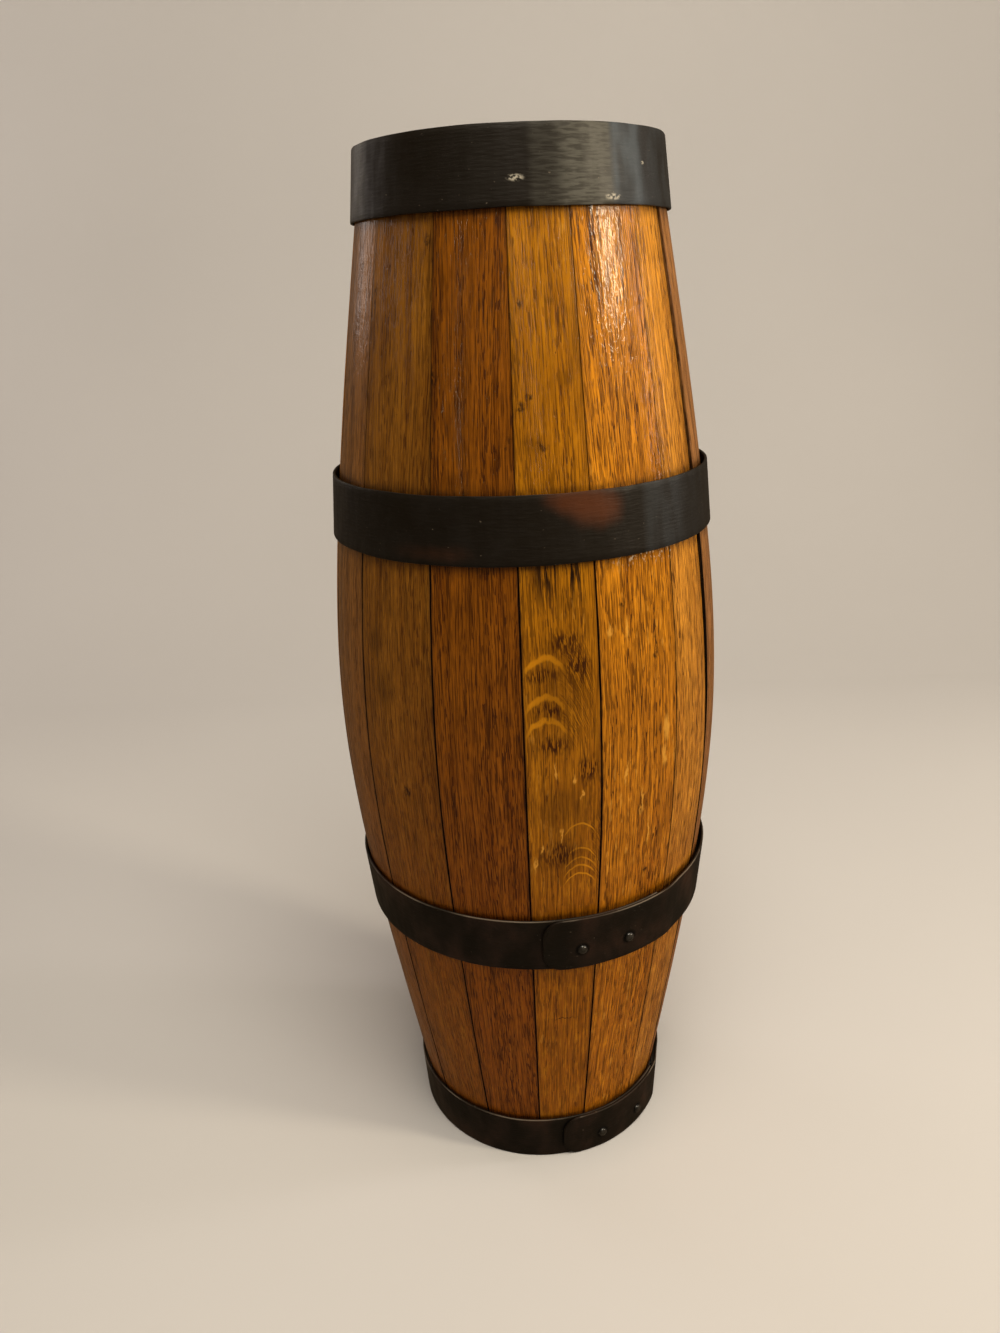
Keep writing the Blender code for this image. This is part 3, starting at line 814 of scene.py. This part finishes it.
def stave_body(node, rows, stations):
    """A stave's body, its face shaped by hand and its long edges eased."""
    sizes = bpy.context.scene.cask_sizes
    first, last = bearing_span(node)
    centre, half_turn = (first + last) / 2, math.radians(last - first) / 2
    seed = stave_seed(node)
    rings = []
    for share, reach in stations:
        ring = []
        for z, inner in rows:
            outer = stave_radius(z)
            half_width = outer * half_turn + sizes.closing * tight_seams(z)
            drop = 0.0
            across = share * half_width
            if reach is not None:
                inset = reach * sizes.arris
                across = share * (half_width - inset)
                rounding = max(sizes.arris - inset, 0)
                drop = sizes.arris - math.sqrt(sizes.arris ** 2 - rounding ** 2)
            radius = inner
            if inner is None:
                radius = outer - drop + hand_planing(seed, across / half_width, z)
                if node == SUNKEN_STAVE:
                    sunk = smooth_step(across / half_width, 0.3, 1.0) * smooth_step(z, 0.28, 0.4)
                    radius -= SUNKEN_DEPTH * sunk
            bearing = centre + math.degrees(across / outer)
            ring.append(outward(bearing) * radius + Vector((0, 0, z)))
        rings.append(ring)
    return loft(rings)


def stave_values(node, bm):
    """What the oak's finish needs to know at each corner of a stave."""
    first, last = bearing_span(node)
    centre, half_turn = (first + last) / 2, math.radians(last - first) / 2
    shift = grain_shift(node)
    hoop_low = HOOP_EDGES["upper_bilge_hoop"][0]
    values = {key: [] for key in ("grain", "dirt", "seam", "soot", "scuff")}
    for vert in bm.verts:
        z = vert.co.z
        outer = stave_radius(z)
        depth = outer - vert.co.xy.length
        on_face = 1.0 if depth < FACE_DEPTH else 0.0
        turn = math.degrees(math.atan2(vert.co.x, -vert.co.y)) - centre
        turn = (turn + 180) % 360 - 180
        bearing = centre + turn
        across = math.radians(turn) * outer
        from_seam = max(outer * half_turn - abs(across), 0)
        values["grain"].append(Vector((across, depth, z)) + shift)
        values["dirt"].append(max(hoop_dirt(z), 0.3 * smooth_step(from_seam, 2.4 * MM, 0.4 * MM)))
        tight = tight_seams(z)
        # Painted shade of the gap between staves: full near an edge where the seams stand open, half where
        # they close
        black = smooth_step(from_seam, (0.6 - 0.25 * tight) * MM, 0.15 * MM)
        values["seam"].append((1.0 - 0.5 * tight) * black)
        below = hoop_low - z
        front_soot = smooth_step(bearing, 0, 5) * smooth_step(bearing, 18, 14)
        values["soot"].append(on_face * front_soot * smooth_step(below, 32 * MM, 6 * MM) * (below > 0))
        # Partly scuffed varnish, partly painted glints: the specks go only across the lit right front, just
        # under the upper bilge hoop
        rubbed = smooth_step(bearing, 22, 30) * smooth_step(bearing, 50, 44)
        values["scuff"].append(on_face * rubbed * smooth_step(below, 9 * MM, 1 * MM) * (below > 0))
    return values


def bung_stand():
    """The bung's own axes: its +Z points out of the barrel, its origin lies on the stave's face."""
    proud = bpy.context.scene.bung_sizes.proud
    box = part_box("bung")
    place = Vector((0, box[1].y - proud, (box[0].z + box[1].z) / 2))
    return Matrix.Translation(place) @ Matrix.Rotation(-math.pi / 2, 4, "X")


def bung_cutter():
    """A tapered plug, a little wider than the bung, that bores its hole."""
    sizes = bpy.context.scene.bung_sizes
    outline = [(0, sizes.length)]
    for height in (sizes.length, -sizes.length):
        outline.append((sizes.radius + sizes.clearance + sizes.taper * height, height))
    outline.append((0, -sizes.length))
    bm = turned_body(outline, BUNG_STEPS)
    bmesh.ops.transform(bm, matrix=bung_stand(), verts=bm.verts)
    return bm


def bored(bm, cutter):
    """A body with a cutter's shape taken out of it; both are used up."""
    pair = []
    for body in (bm, cutter):
        bmesh.ops.recalc_face_normals(body, faces=body.faces)
        mesh = bpy.data.meshes.new("boring")
        body.to_mesh(mesh)
        body.free()
        pair.append(bpy.data.objects.new("boring", mesh))
        bpy.context.scene.collection.objects.link(pair[-1])
    boring = pair[0].modifiers.new("boring", "BOOLEAN")
    boring.object = pair[1]
    result = bmesh.new()
    result.from_object(pair[0], bpy.context.evaluated_depsgraph_get())
    for used in pair:
        bpy.data.meshes.remove(used.data)
    return result


def add_stave(node, rows, stations, material):
    bm = stave_body(node, rows, stations)
    if node == BUNG_STAVE:
        bm = bored(bm, bung_cutter())
    finish_piece(f"{node}_oak", bm, material, CASK, node, stave_values(node, bm))


def stave_marks(tone):
    """Marks as (kind, centre, half sizes) in the grain of the front stave that has the tone."""
    node = next(name for name, found in STAVE_TONES.items() if found == tone)
    marks = []
    for kind, bearing, height, half_width, half_length in MARKS.get(tone, ()):
        half_sizes = (half_width * MM, MARK_DEPTH, half_length * MM)
        marks.append((kind, stave_place(node, bearing, height), half_sizes))
    return marks


class BARREL_OT_staves(bpy.types.Operator):
    """Build the oak staves in place of the frame's plain ones"""

    bl_idname = "barrel.staves"
    bl_label = "Staves"

    def execute(self, context):
        materials = {tone: varnished_oak(tone, stave_marks(tone)) for tone in TONE_GRAIN}
        rows, stations = stave_rows(), stations_across()
        for node, tone in STAVE_TONES.items():
            add_stave(node, rows, stations, materials[tone])
        return {"FINISHED"}


# Hoops and rivets


def hoop_radius(name, z):
    """Inner radius of a hoop, a cone set by its clearance to the staves at its edges."""
    low, high = HOOP_EDGES[name]
    low_radius = stave_radius(low) + HOOPS[name][0] * MM
    high_radius = stave_radius(high) + HOOPS[name][1] * MM
    return low_radius + (high_radius - low_radius) * (z - low) / (high - low)


def hoop_slope(name):
    low, high = HOOP_EDGES[name]
    return (hoop_radius(name, high) - hoop_radius(name, low)) / (high - low)


def hoop_stations(name):
    """(degrees from the free end, half width) down the hoop, the free end's corners rounded."""
    sizes = bpy.context.scene.hoop_sizes
    low, high = HOOP_EDGES[name]
    half_width = (high - low) / 2
    to_degrees = math.degrees(1 / hoop_radius(name, (low + high) / 2))
    corner_steps = 8
    stations = []
    for step in range(corner_steps + 1):
        turn = math.pi / 2 * step / corner_steps
        along = sizes.lap_corner * (1 - math.cos(turn))
        stations.append((along * to_degrees, half_width - sizes.lap_corner * (1 - math.sin(turn))))
    rounded = stations[-1][0]
    length = 360 + HOOPS[name][3]
    spans = round((length - rounded) / 2.4)
    turns = [rounded + (length - rounded) * step / spans for step in range(1, spans + 1)]
    turns += [360 + offset / 2 for offset in range(-3, 15)]
    return stations + [(turn, half_width) for turn in sorted(turns)]


def hoop_section(half_width):
    """(distance from the middle line, depth from the inner face) once round the strip's section."""
    sizes = bpy.context.scene.hoop_sizes
    edge, iron = sizes.edge, sizes.iron
    section = [(-half_width + edge, 0), (half_width - edge, 0)]
    for turn in (-90, -45, 0):
        angle = math.radians(turn)
        section.append((half_width - edge + edge * math.cos(angle), edge + edge * math.sin(angle)))
    for turn in (0, 45, 90):
        angle = math.radians(turn)
        section.append((half_width - edge + edge * math.cos(angle), iron - edge + edge * math.sin(angle)))
    face_steps = 12
    for step in range(1, face_steps):
        section.append(((half_width - edge) * (1 - 2 * step / face_steps), iron))
    mirrored = [(-place, depth) for place, depth in reversed(section[2:8])]
    return section + mirrored


def lap_lift(name, turn):
    """How far a hoop stands out at some degrees from its free end, where it lies over itself."""
    sizes = bpy.context.scene.hoop_sizes
    settled = smooth_step(turn, HOOPS[name][3] + 3, HOOPS[name][3] + 13)
    return (sizes.iron + sizes.lap_gap) * (1 - settled)


def add_hoop(name, material):
    free_end, drift = HOOPS[name][2], HOOPS[name][4] * MM
    iron = bpy.context.scene.hoop_sizes.iron
    low, high = HOOP_EDGES[name]
    middle = (low + high) / 2
    slope = hoop_slope(name)
    tilt = 1 / math.hypot(1, slope)
    rings = []
    values = {key: [] for key in PAINT_VALUES}
    for turn, half_width in hoop_stations(name):
        bearing = free_end + turn
        out = outward(bearing)
        along = math.radians(turn) * hoop_radius(name, middle)
        dent = 0.25 * MM * noise.noise(out * 2.2 + Vector((0, 0, low * 40)))
        ring = []
        for place, depth in hoop_section(half_width):
            ripple = 0.3 * MM * noise.noise(out * 5 + Vector((place * 30, 0, low * 70)))
            z = middle + place - depth * slope * tilt + ripple
            radius = hoop_radius(name, middle + place) + lap_lift(name, turn) + depth * tilt + dent
            ring.append(out * radius + Vector((drift, 0, z)))
            around = (bearing + 180) % 360 - 180
            values["strip"].append((place, depth, along + low * 10))
            edge_gap = half_width - abs(place)
            straight = half_width > 0.99 * (high - low) / 2
            # Painted glint, partly wear: only the lower hoops' upper edges take the full pale edge line
            glint_edge = straight and place > 0 and name.startswith(("bottom", "lower"))
            from_corner = edge_gap + 0.8 * (iron - depth)
            values["rim"].append(from_corner if glint_edge else from_corner + 0.6 * MM)
            values["rubbed"].append(rubbed_paint_and_sheen(name, around))
            values["cool"].append(cool_wall_reflection(name, around))
            values["grime"].append(lap_end_shade(name, turn, place, half_width))
            values["rust"].append(rust_stain(name, around, middle + place))
        rings.append(ring)
    finish_piece(f"{name}_iron", loft(rings), material, CASK, name, values)


# Rust on the upper bilge hoop: strength, bearing and half turn, height and half height in millimetres
RUST_PATCHES = ((0.6, 21, 8, 472, 13), (0.4, 11, 8, 479, 9), (0.33, -24, 16, 451, 8))


def rust_stain(name, bearing, z):
    """How much rust stains the paint: a breath on the lower hoops, patches on the upper bilge hoop."""
    if name != "upper_bilge_hoop":
        return 0.24 if name.startswith(("bottom", "lower")) else 0.0
    stain = 0.0
    for strength, middle, half_turn, height, half_height in RUST_PATCHES:
        along = (bearing - middle) / half_turn
        across = (z / MM - height) / half_height
        stain += strength * math.exp(-along ** 2 - across ** 2)
    return stain


def lap_end_shade(name, turn, place, half_width):
    """Painted shade on the under layer of a lap, along the rounded outline of the free end above it."""
    corner = bpy.context.scene.hoop_sizes.lap_corner
    low, high = HOOP_EDGES[name]
    into_corner = min(max(abs(place) - half_width + corner, 0) / corner, 1)
    outline = corner * (1 - math.sqrt(1 - into_corner ** 2))
    along = math.radians(turn - 360) * hoop_radius(name, (low + high) / 2)
    return smooth_step(abs(along - outline), 2.2 * MM, 0.6 * MM)


def rubbed_paint_and_sheen(name, bearing):
    """Where the top hoop's paint is laid grey, partly for handling wear and partly as painted sheen: the
    right front and the left side of the top hoop.
    """
    if name != "top_chime_hoop":
        return 0.0
    front = 0.3 * smooth_step(bearing, 6, 8) + 0.7 * smooth_step(bearing, 13, 20)
    return front * smooth_step(bearing, 37, 34) + 0.6 * smooth_step(bearing, -57, -61)


def cool_wall_reflection(name, bearing):
    """Painted reflection of a bluish wall: blue-grey on a flat of the top hoop at the right, and a little on
    the upper bilge hoop.
    """
    flat = smooth_step(bearing, 34, 37) * (0.3 + 0.7 * smooth_step(bearing, 53, 47))
    return {"top_chime_hoop": flat, "upper_bilge_hoop": 0.25 * flat}.get(name, 0.0)


def hoop_marks(name, places):
    """Marks given as (bearing, height, width, length in millimetres) in a hoop's own strip."""
    low, high = HOOP_EDGES[name]
    middle = (low + high) / 2
    marks = []
    for bearing, height, width, length in places:
        turn = (bearing - HOOPS[name][2]) % 360
        along = math.radians(turn) * hoop_radius(name, middle)
        centre = (height * MM - middle, 0, along + low * 10)
        marks.append((centre, (width * MM, MARK_DEPTH, length * MM)))
    return marks


# Scuffs on the top hoop: bearing, then height, width and length in millimetres
TOP_SCUFFS = ((2.0, 634.6, 2.2, 5.5), (35.1, 625.0, 2.0, 6.5), (50.4, 641.8, 1.1, 1.6))


def rivet_bearing(node, hoop):
    """Middle of a rivet's box and its bearing from the hoop's own axis."""
    low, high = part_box(node)
    centre = (low + high) / 2
    return centre, math.degrees(math.atan2(centre.x - HOOPS[hoop][4] * MM, -centre.y))


def rivet_shade_marks(hoop):
    """Marks of painted shade laid round a hoop's two rivets, where their heads shade the hoop."""
    reach = 1.7 * bpy.context.scene.hoop_sizes.rivet_head / MM
    places = []
    for number in (1, 2):
        centre, bearing = rivet_bearing(f"{hoop}_rivet_{number}", hoop)
        places.append((bearing, centre.z / MM, reach, reach))
    return hoop_marks(hoop, places)


class BARREL_OT_hoops(bpy.types.Operator):
    """Build the painted iron hoops in place of the frame's plain ones"""

    bl_idname = "barrel.hoops"
    bl_label = "Hoops"

    def execute(self, context):
        # Painted shadows round the lower hoops' rivets
        shade_marks = [mark for name in ("bottom_chime_hoop", "lower_bilge_hoop") for mark in rivet_shade_marks(name)]
        plain = brushed_black_paint("brushed_black_paint", shade_marks=shade_marks)
        scuffs = hoop_marks("top_chime_hoop", TOP_SCUFFS)
        scuffed = brushed_black_paint("brushed_black_paint_scuffed", scuffs)
        for name in HOOPS:
            add_hoop(name, scuffed if name == "top_chime_hoop" else plain)
        return {"FINISHED"}


def add_rivet(node, hoop, material):
    """A domed head, hammered a little flat, and its shank through the lap."""
    sizes = bpy.context.scene.hoop_sizes
    centre, bearing = rivet_bearing(node, hoop)
    slope = hoop_slope(hoop)
    axis = (outward(bearing) - Vector((0, 0, slope))).normalized()
    seat = outward(bearing) * hoop_radius(hoop, centre.z) + Vector((HOOPS[hoop][4] * MM, 0, centre.z))
    grip = 2 * sizes.iron + sizes.lap_gap
    dome_steps, flat = 8, 0.08
    outline = [(0, grip + sizes.rivet_dome)]
    for step in range(dome_steps + 1):
        turn = math.pi / 2 * (flat + (1 - flat) * step / dome_steps)
        outline.append((sizes.rivet_head * math.sin(turn), grip + sizes.rivet_dome * math.cos(turn)))
    shank, tail = 0.66 * sizes.rivet_head, -0.2 * MM
    outline += [(shank, grip), (shank, tail), (0, tail)]
    bm = turned_body(outline, RIVET_STEPS)
    stand = Matrix.Translation(seat) @ axis.to_track_quat("Z", "Y").to_matrix().to_4x4()
    values = {key: [] for key in PAINT_VALUES}
    for vert in bm.verts:
        values["strip"].append(tuple(vert.co + stand.translation))
        values["rim"].append(1.0 * MM + abs(vert.co.xy.length - 1.2 * MM))
        values["rust"].append(0.1)
        # Painted sheen, partly wear: a little grey laid on the crown of the dome
        values["rubbed"].append(0.15 * smooth_step(vert.co.z, grip, grip + sizes.rivet_dome))
        values["cool"].append(0.0)
        # Painted shade round the rim of the rivet's head, where it meets the hoop
        values["grime"].append(smooth_step(vert.co.xy.length, 0.75 * sizes.rivet_head, sizes.rivet_head))
    bmesh.ops.transform(bm, matrix=stand, verts=bm.verts)
    finish_piece(f"{node}_iron", bm, material, CASK, node, values)


class BARREL_OT_rivets(bpy.types.Operator):
    """Build the domed rivets through the hoops' laps"""

    bl_idname = "barrel.rivets"
    bl_label = "Rivets"

    def execute(self, context):
        material = brushed_black_paint("brushed_black_paint_rivet", coat=0.9)
        for hoop in HOOPS:
            for number in (1, 2):
                add_rivet(f"{hoop}_rivet_{number}", hoop, material)
        return {"FINISHED"}


# Heads and bung


def head_outline():
    """(radius, height) points of a head's section about its mid plane, from the top down."""
    sizes = bpy.context.scene.cask_sizes
    clearance, rim_width = 0.6 * MM, 6.5 * MM
    rim = croze_floor() - clearance
    shoulder = rim - rim_width
    upper = [
        (0, sizes.head_thickness / 2),
        (shoulder - sizes.head_bevel, sizes.head_thickness / 2),
        (shoulder, sizes.head_rim / 2),
        (rim, sizes.head_rim / 2),
    ]
    return upper + [(radius, -z) for radius, z in reversed(upper)]


def add_board(node, near, far, z, seed, material):
    """The part of a head between two lines parallel to X, its joint edges eased."""
    bm = turned_body(head_outline(), HEAD_STEPS)
    bmesh.ops.dissolve_limit(bm, angle_limit=math.radians(1), verts=bm.verts, edges=bm.edges)
    for place, facing in ((near, -1), (far, 1)):
        everything = list(bm.verts) + list(bm.edges) + list(bm.faces)
        cut = bmesh.ops.bisect_plane(
            bm, geom=everything, plane_co=(0, place, 0), plane_no=(0, facing, 0), clear_outer=True
        )
        edges = [found for found in cut["geom_cut"] if isinstance(found, bmesh.types.BMEdge)]
        if edges:
            bmesh.ops.contextual_create(bm, geom=edges)
            bmesh.ops.bevel(bm, geom=edges, offset=0.5 * MM, segments=2, profile=0.5, affect="EDGES")
    bmesh.ops.triangulate(bm, faces=bm.faces)
    bmesh.ops.translate(bm, verts=bm.verts, vec=(0, 0, z))
    rim = croze_floor()
    values = {"grain": [], "dirt": []}
    for vert in bm.verts:
        values["grain"].append((vert.co.y + seed * 0.31, vert.co.z, vert.co.x + seed * 0.7))
        values["dirt"].append(smooth_step(vert.co.xy.length, rim - 22 * MM, rim - 6 * MM))
    finish_piece(f"{node}_oak", bm, material, CASK, node, values)


class BARREL_OT_heads(bpy.types.Operator):
    """Build the boards of both heads and give the dowels their wood"""

    bl_idname = "barrel.heads"
    bl_label = "Heads"

    def execute(self, context):
        sizes = context.scene.cask_sizes
        material = planed_oak()
        dowel_wood = turned_wood("turned_hardwood_dowel")
        edge, gap = sizes.middle_board / 2, 0.2 * MM
        spans = {
            "front": (-2 * sizes.belly_radius, -edge - gap),
            "middle": (-edge + gap, edge - gap),
            "back": (edge + gap, 2 * sizes.belly_radius),
        }
        for number, end in enumerate(("bottom", "top")):
            for seed, (label, (near, far)) in enumerate(spans.items(), 1):
                node = f"{end}_head_{label}_board"
                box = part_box(node)
                add_board(node, near, far, (box[0].z + box[1].z) / 2, seed + 5 * number, material)
            for joint in ("front", "back"):
                for side in ("left", "right"):
                    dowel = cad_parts[f"{end}_head_{joint}_{side}_dowel"]
                    dowel.data.materials.clear()
                    dowel.data.materials.append(dowel_wood)
        return {"FINISHED"}


class BARREL_OT_bung(bpy.types.Operator):
    """Build the turned bung in the back stave"""

    bl_idname = "barrel.bung"
    bl_label = "Bung"

    def execute(self, context):
        sizes = context.scene.bung_sizes
        rim = sizes.radius + sizes.taper * sizes.proud
        inner_end = sizes.proud - sizes.length
        tip = sizes.radius + sizes.taper * inner_end
        outline = [(0, sizes.proud - 0.4 * MM), (0.6 * rim, sizes.proud - 0.2 * MM)]
        edge_steps = 5
        for step in range(edge_steps + 1):
            turn = math.pi / 2 * step / edge_steps
            radius = rim - sizes.edge + sizes.edge * math.sin(turn)
            outline.append((radius, sizes.proud - sizes.edge + sizes.edge * math.cos(turn)))
        for step in range(edge_steps + 1):
            turn = math.pi / 2 * step / edge_steps
            radius = tip - sizes.edge + sizes.edge * math.cos(turn)
            outline.append((radius, inner_end + sizes.edge - sizes.edge * math.sin(turn)))
        outline.append((0, inner_end))
        bm = turned_body(outline, BUNG_STEPS)
        bmesh.ops.transform(bm, matrix=bung_stand(), verts=bm.verts)
        finish_piece("bung_wood", bm, turned_wood("turned_hardwood_bung"), "bung", "bung")
        return {"FINISHED"}


# Stage


class BARREL_OT_stage(bpy.types.Operator):
    """Set the pale floor, the soft lights and the camera"""

    bl_idname = "barrel.stage"
    bl_label = "Stage"

    def execute(self, context):
        add_floor(context.scene.stage_settings)
        add_lights()
        add_camera(context.scene.stage_settings)
        context.scene.view_settings.view_transform = "Standard"
        return {"FINISHED"}


def add_floor(settings):
    """A pale floor that sweeps up into a backdrop on all sides of the barrel."""
    half_width, front, back, corner, cove, height = 3.0, -3.0, 1.5, 1.0, 0.7, 2.4
    middles = [
        (half_width - corner, back - corner),
        (corner - half_width, back - corner),
        (corner - half_width, front + corner),
        (half_width - corner, front + corner),
    ]
    cove_steps, corner_steps = 12, 8
    cove_turns = [math.pi / 2 * step / cove_steps for step in range(cove_steps + 1)]
    levels = [(corner - cove + cove * math.sin(turn), cove - cove * math.cos(turn)) for turn in cove_turns]
    levels.append((corner, height))
    rings = []
    for radius, z in levels:
        ring = []
        for quarter, (x, y) in enumerate(middles):
            for step in range(corner_steps + 1):
                turn = math.pi / 2 * (quarter + step / corner_steps)
                ring.append((x + radius * math.cos(turn), y + radius * math.sin(turn), z))
        rings.append(ring)
    bm = loft(rings)
    bmesh.ops.recalc_face_normals(bm, faces=bm.faces)
    bm.faces.ensure_lookup_table()
    bmesh.ops.delete(bm, geom=[bm.faces[-1]], context="FACES_ONLY")
    mesh = bpy.data.meshes.new("floor")
    bm.to_mesh(mesh)
    bm.free()
    mesh.shade_smooth()
    ground = max(mesh.polygons, key=lambda face: face.area)
    ground.use_smooth = False
    floor = bpy.data.objects.new("floor", mesh)
    bpy.context.scene.collection.objects.link(floor)
    # Matt studio paper: an even pale sheet with a breath of tone across it
    paper = Finish("matt_studio_paper", scaled_colour(settings.floor, 0.97))
    coords = add(paper.tree, "TexCoord").outputs["Object"]
    tone = paper.streaks(coords, 600, 600, 1.0)
    paper.lay(settings.floor, tone, 0.3, 0.7)
    paper.tree.links.new(paper.colour, paper.shader.inputs["Base Color"])
    paper.shader.inputs["Roughness"].default_value = 0.75
    mesh.materials.append(paper.material)
    # Flagged off from reflections, so that the pale paper lays no veil over the varnish and the paint
    floor.visible_glossy = False


def add_light(name, place, target, size, power, colour):
    """A soft rectangular lamp that faces a point."""
    lamp = bpy.data.lights.new(name, "AREA")
    lamp.shape = "RECTANGLE"
    lamp.size, lamp.size_y = size
    lamp.energy = power
    lamp.color = linear(colour)[:3]
    made = bpy.data.objects.new(name, lamp)
    made.location = place
    made.rotation_euler = (Vector(target) - Vector(place)).to_track_quat("-Z", "Y").to_euler()
    # The lamps themselves stay out of the picture in every view
    made.visible_camera = False
    bpy.context.scene.collection.objects.link(made)
    return made


def add_lights():
    """A key and a tall side light from the right, one above, a weak fill, a rim light and a dim surround."""
    belly = (0, 0, 0.36)
    add_light("key", (1.45, -0.55, 1.05), belly, (0.2, 0.3), 11.6, "#ffeccb")
    add_light("side", (1.7, 0.05, 1.0), belly, (0.16, 1.1), 4.8, "#fff0e8")
    add_light("top", (0.2, -0.7, 2.05), belly, (1.1, 1.1), 31.0, "#fff3de")
    fill = add_light("fill", (-0.9, -1.5, 1.2), belly, (1.2, 1.2), 1.2, "#fff4e6")
    # The fill lifts the shadows without laying its own reflection over the varnish
    fill.visible_glossy = False
    add_light("rim", (-1.5, 1.1, 1.1), belly, (0.6, 0.8), 3.6, "#fff2ea")
    world = bpy.data.worlds.new("studio")
    world.use_nodes = True
    background = world.node_tree.nodes["Background"]
    background.inputs["Color"].default_value = linear("#e6c49a")
    background.inputs["Strength"].default_value = 0.16
    bpy.context.scene.world = world


def add_camera(settings):
    lens = bpy.data.cameras.new("camera")
    lens.lens = settings.lens
    lens.sensor_width = 36
    made = bpy.data.objects.new("camera", lens)
    level = Matrix.Rotation(math.pi / 2 - settings.pitch, 4, "X")
    rolled = level @ Matrix.Rotation(-settings.roll, 4, "Z")
    turned = Matrix.Rotation(settings.yaw, 4, "Z") @ rolled
    made.matrix_world = Matrix.Translation(settings.camera) @ turned
    bpy.context.scene.collection.objects.link(made)
    bpy.context.scene.camera = made


class BARREL_PT_sidebar(bpy.types.Panel):
    """Lists the barrel's pieces and their sizes"""

    bl_idname = "BARREL_PT_sidebar"
    bl_label = "Oak Wine Barrel"
    bl_space_type = "VIEW_3D"
    bl_region_type = "UI"
    bl_category = "Barrel"

    def draw(self, context):
        for operator in OPERATORS:
            self.layout.operator(operator.bl_idname)
        for key in SETTINGS:
            group = getattr(context.scene, key)
            column = self.layout.column()
            column.label(text=group.bl_rna.description)
            for name in group.bl_rna.properties.keys():
                if name not in ("rna_type", "name"):
                    column.prop(group, name)


SETTINGS = {
    "cask_sizes": CaskSizes,
    "hoop_sizes": HoopSizes,
    "bung_sizes": BungSizes,
    "oak_colours": OakColours,
    "iron_colours": IronColours,
    "stage_settings": StageSettings,
}
OPERATORS = (
    BARREL_OT_staves,
    BARREL_OT_hoops,
    BARREL_OT_rivets,
    BARREL_OT_heads,
    BARREL_OT_bung,
    BARREL_OT_stage,
)


def register():
    for key, group in SETTINGS.items():
        bpy.utils.register_class(group)
        setattr(bpy.types.Scene, key, PointerProperty(type=group))
    for operator in OPERATORS:
        bpy.utils.register_class(operator)
    bpy.utils.register_class(BARREL_PT_sidebar)


def unregister():
    bpy.utils.unregister_class(BARREL_PT_sidebar)
    for operator in reversed(OPERATORS):
        bpy.utils.unregister_class(operator)
    for key, group in SETTINGS.items():
        delattr(bpy.types.Scene, key)
        bpy.utils.unregister_class(group)


def main():
    register()
    bpy.ops.barrel.staves()
    bpy.ops.barrel.hoops()
    bpy.ops.barrel.rivets()
    bpy.ops.barrel.heads()
    bpy.ops.barrel.bung()
    bpy.ops.barrel.stage()


if __name__ == "__main__":
    main()
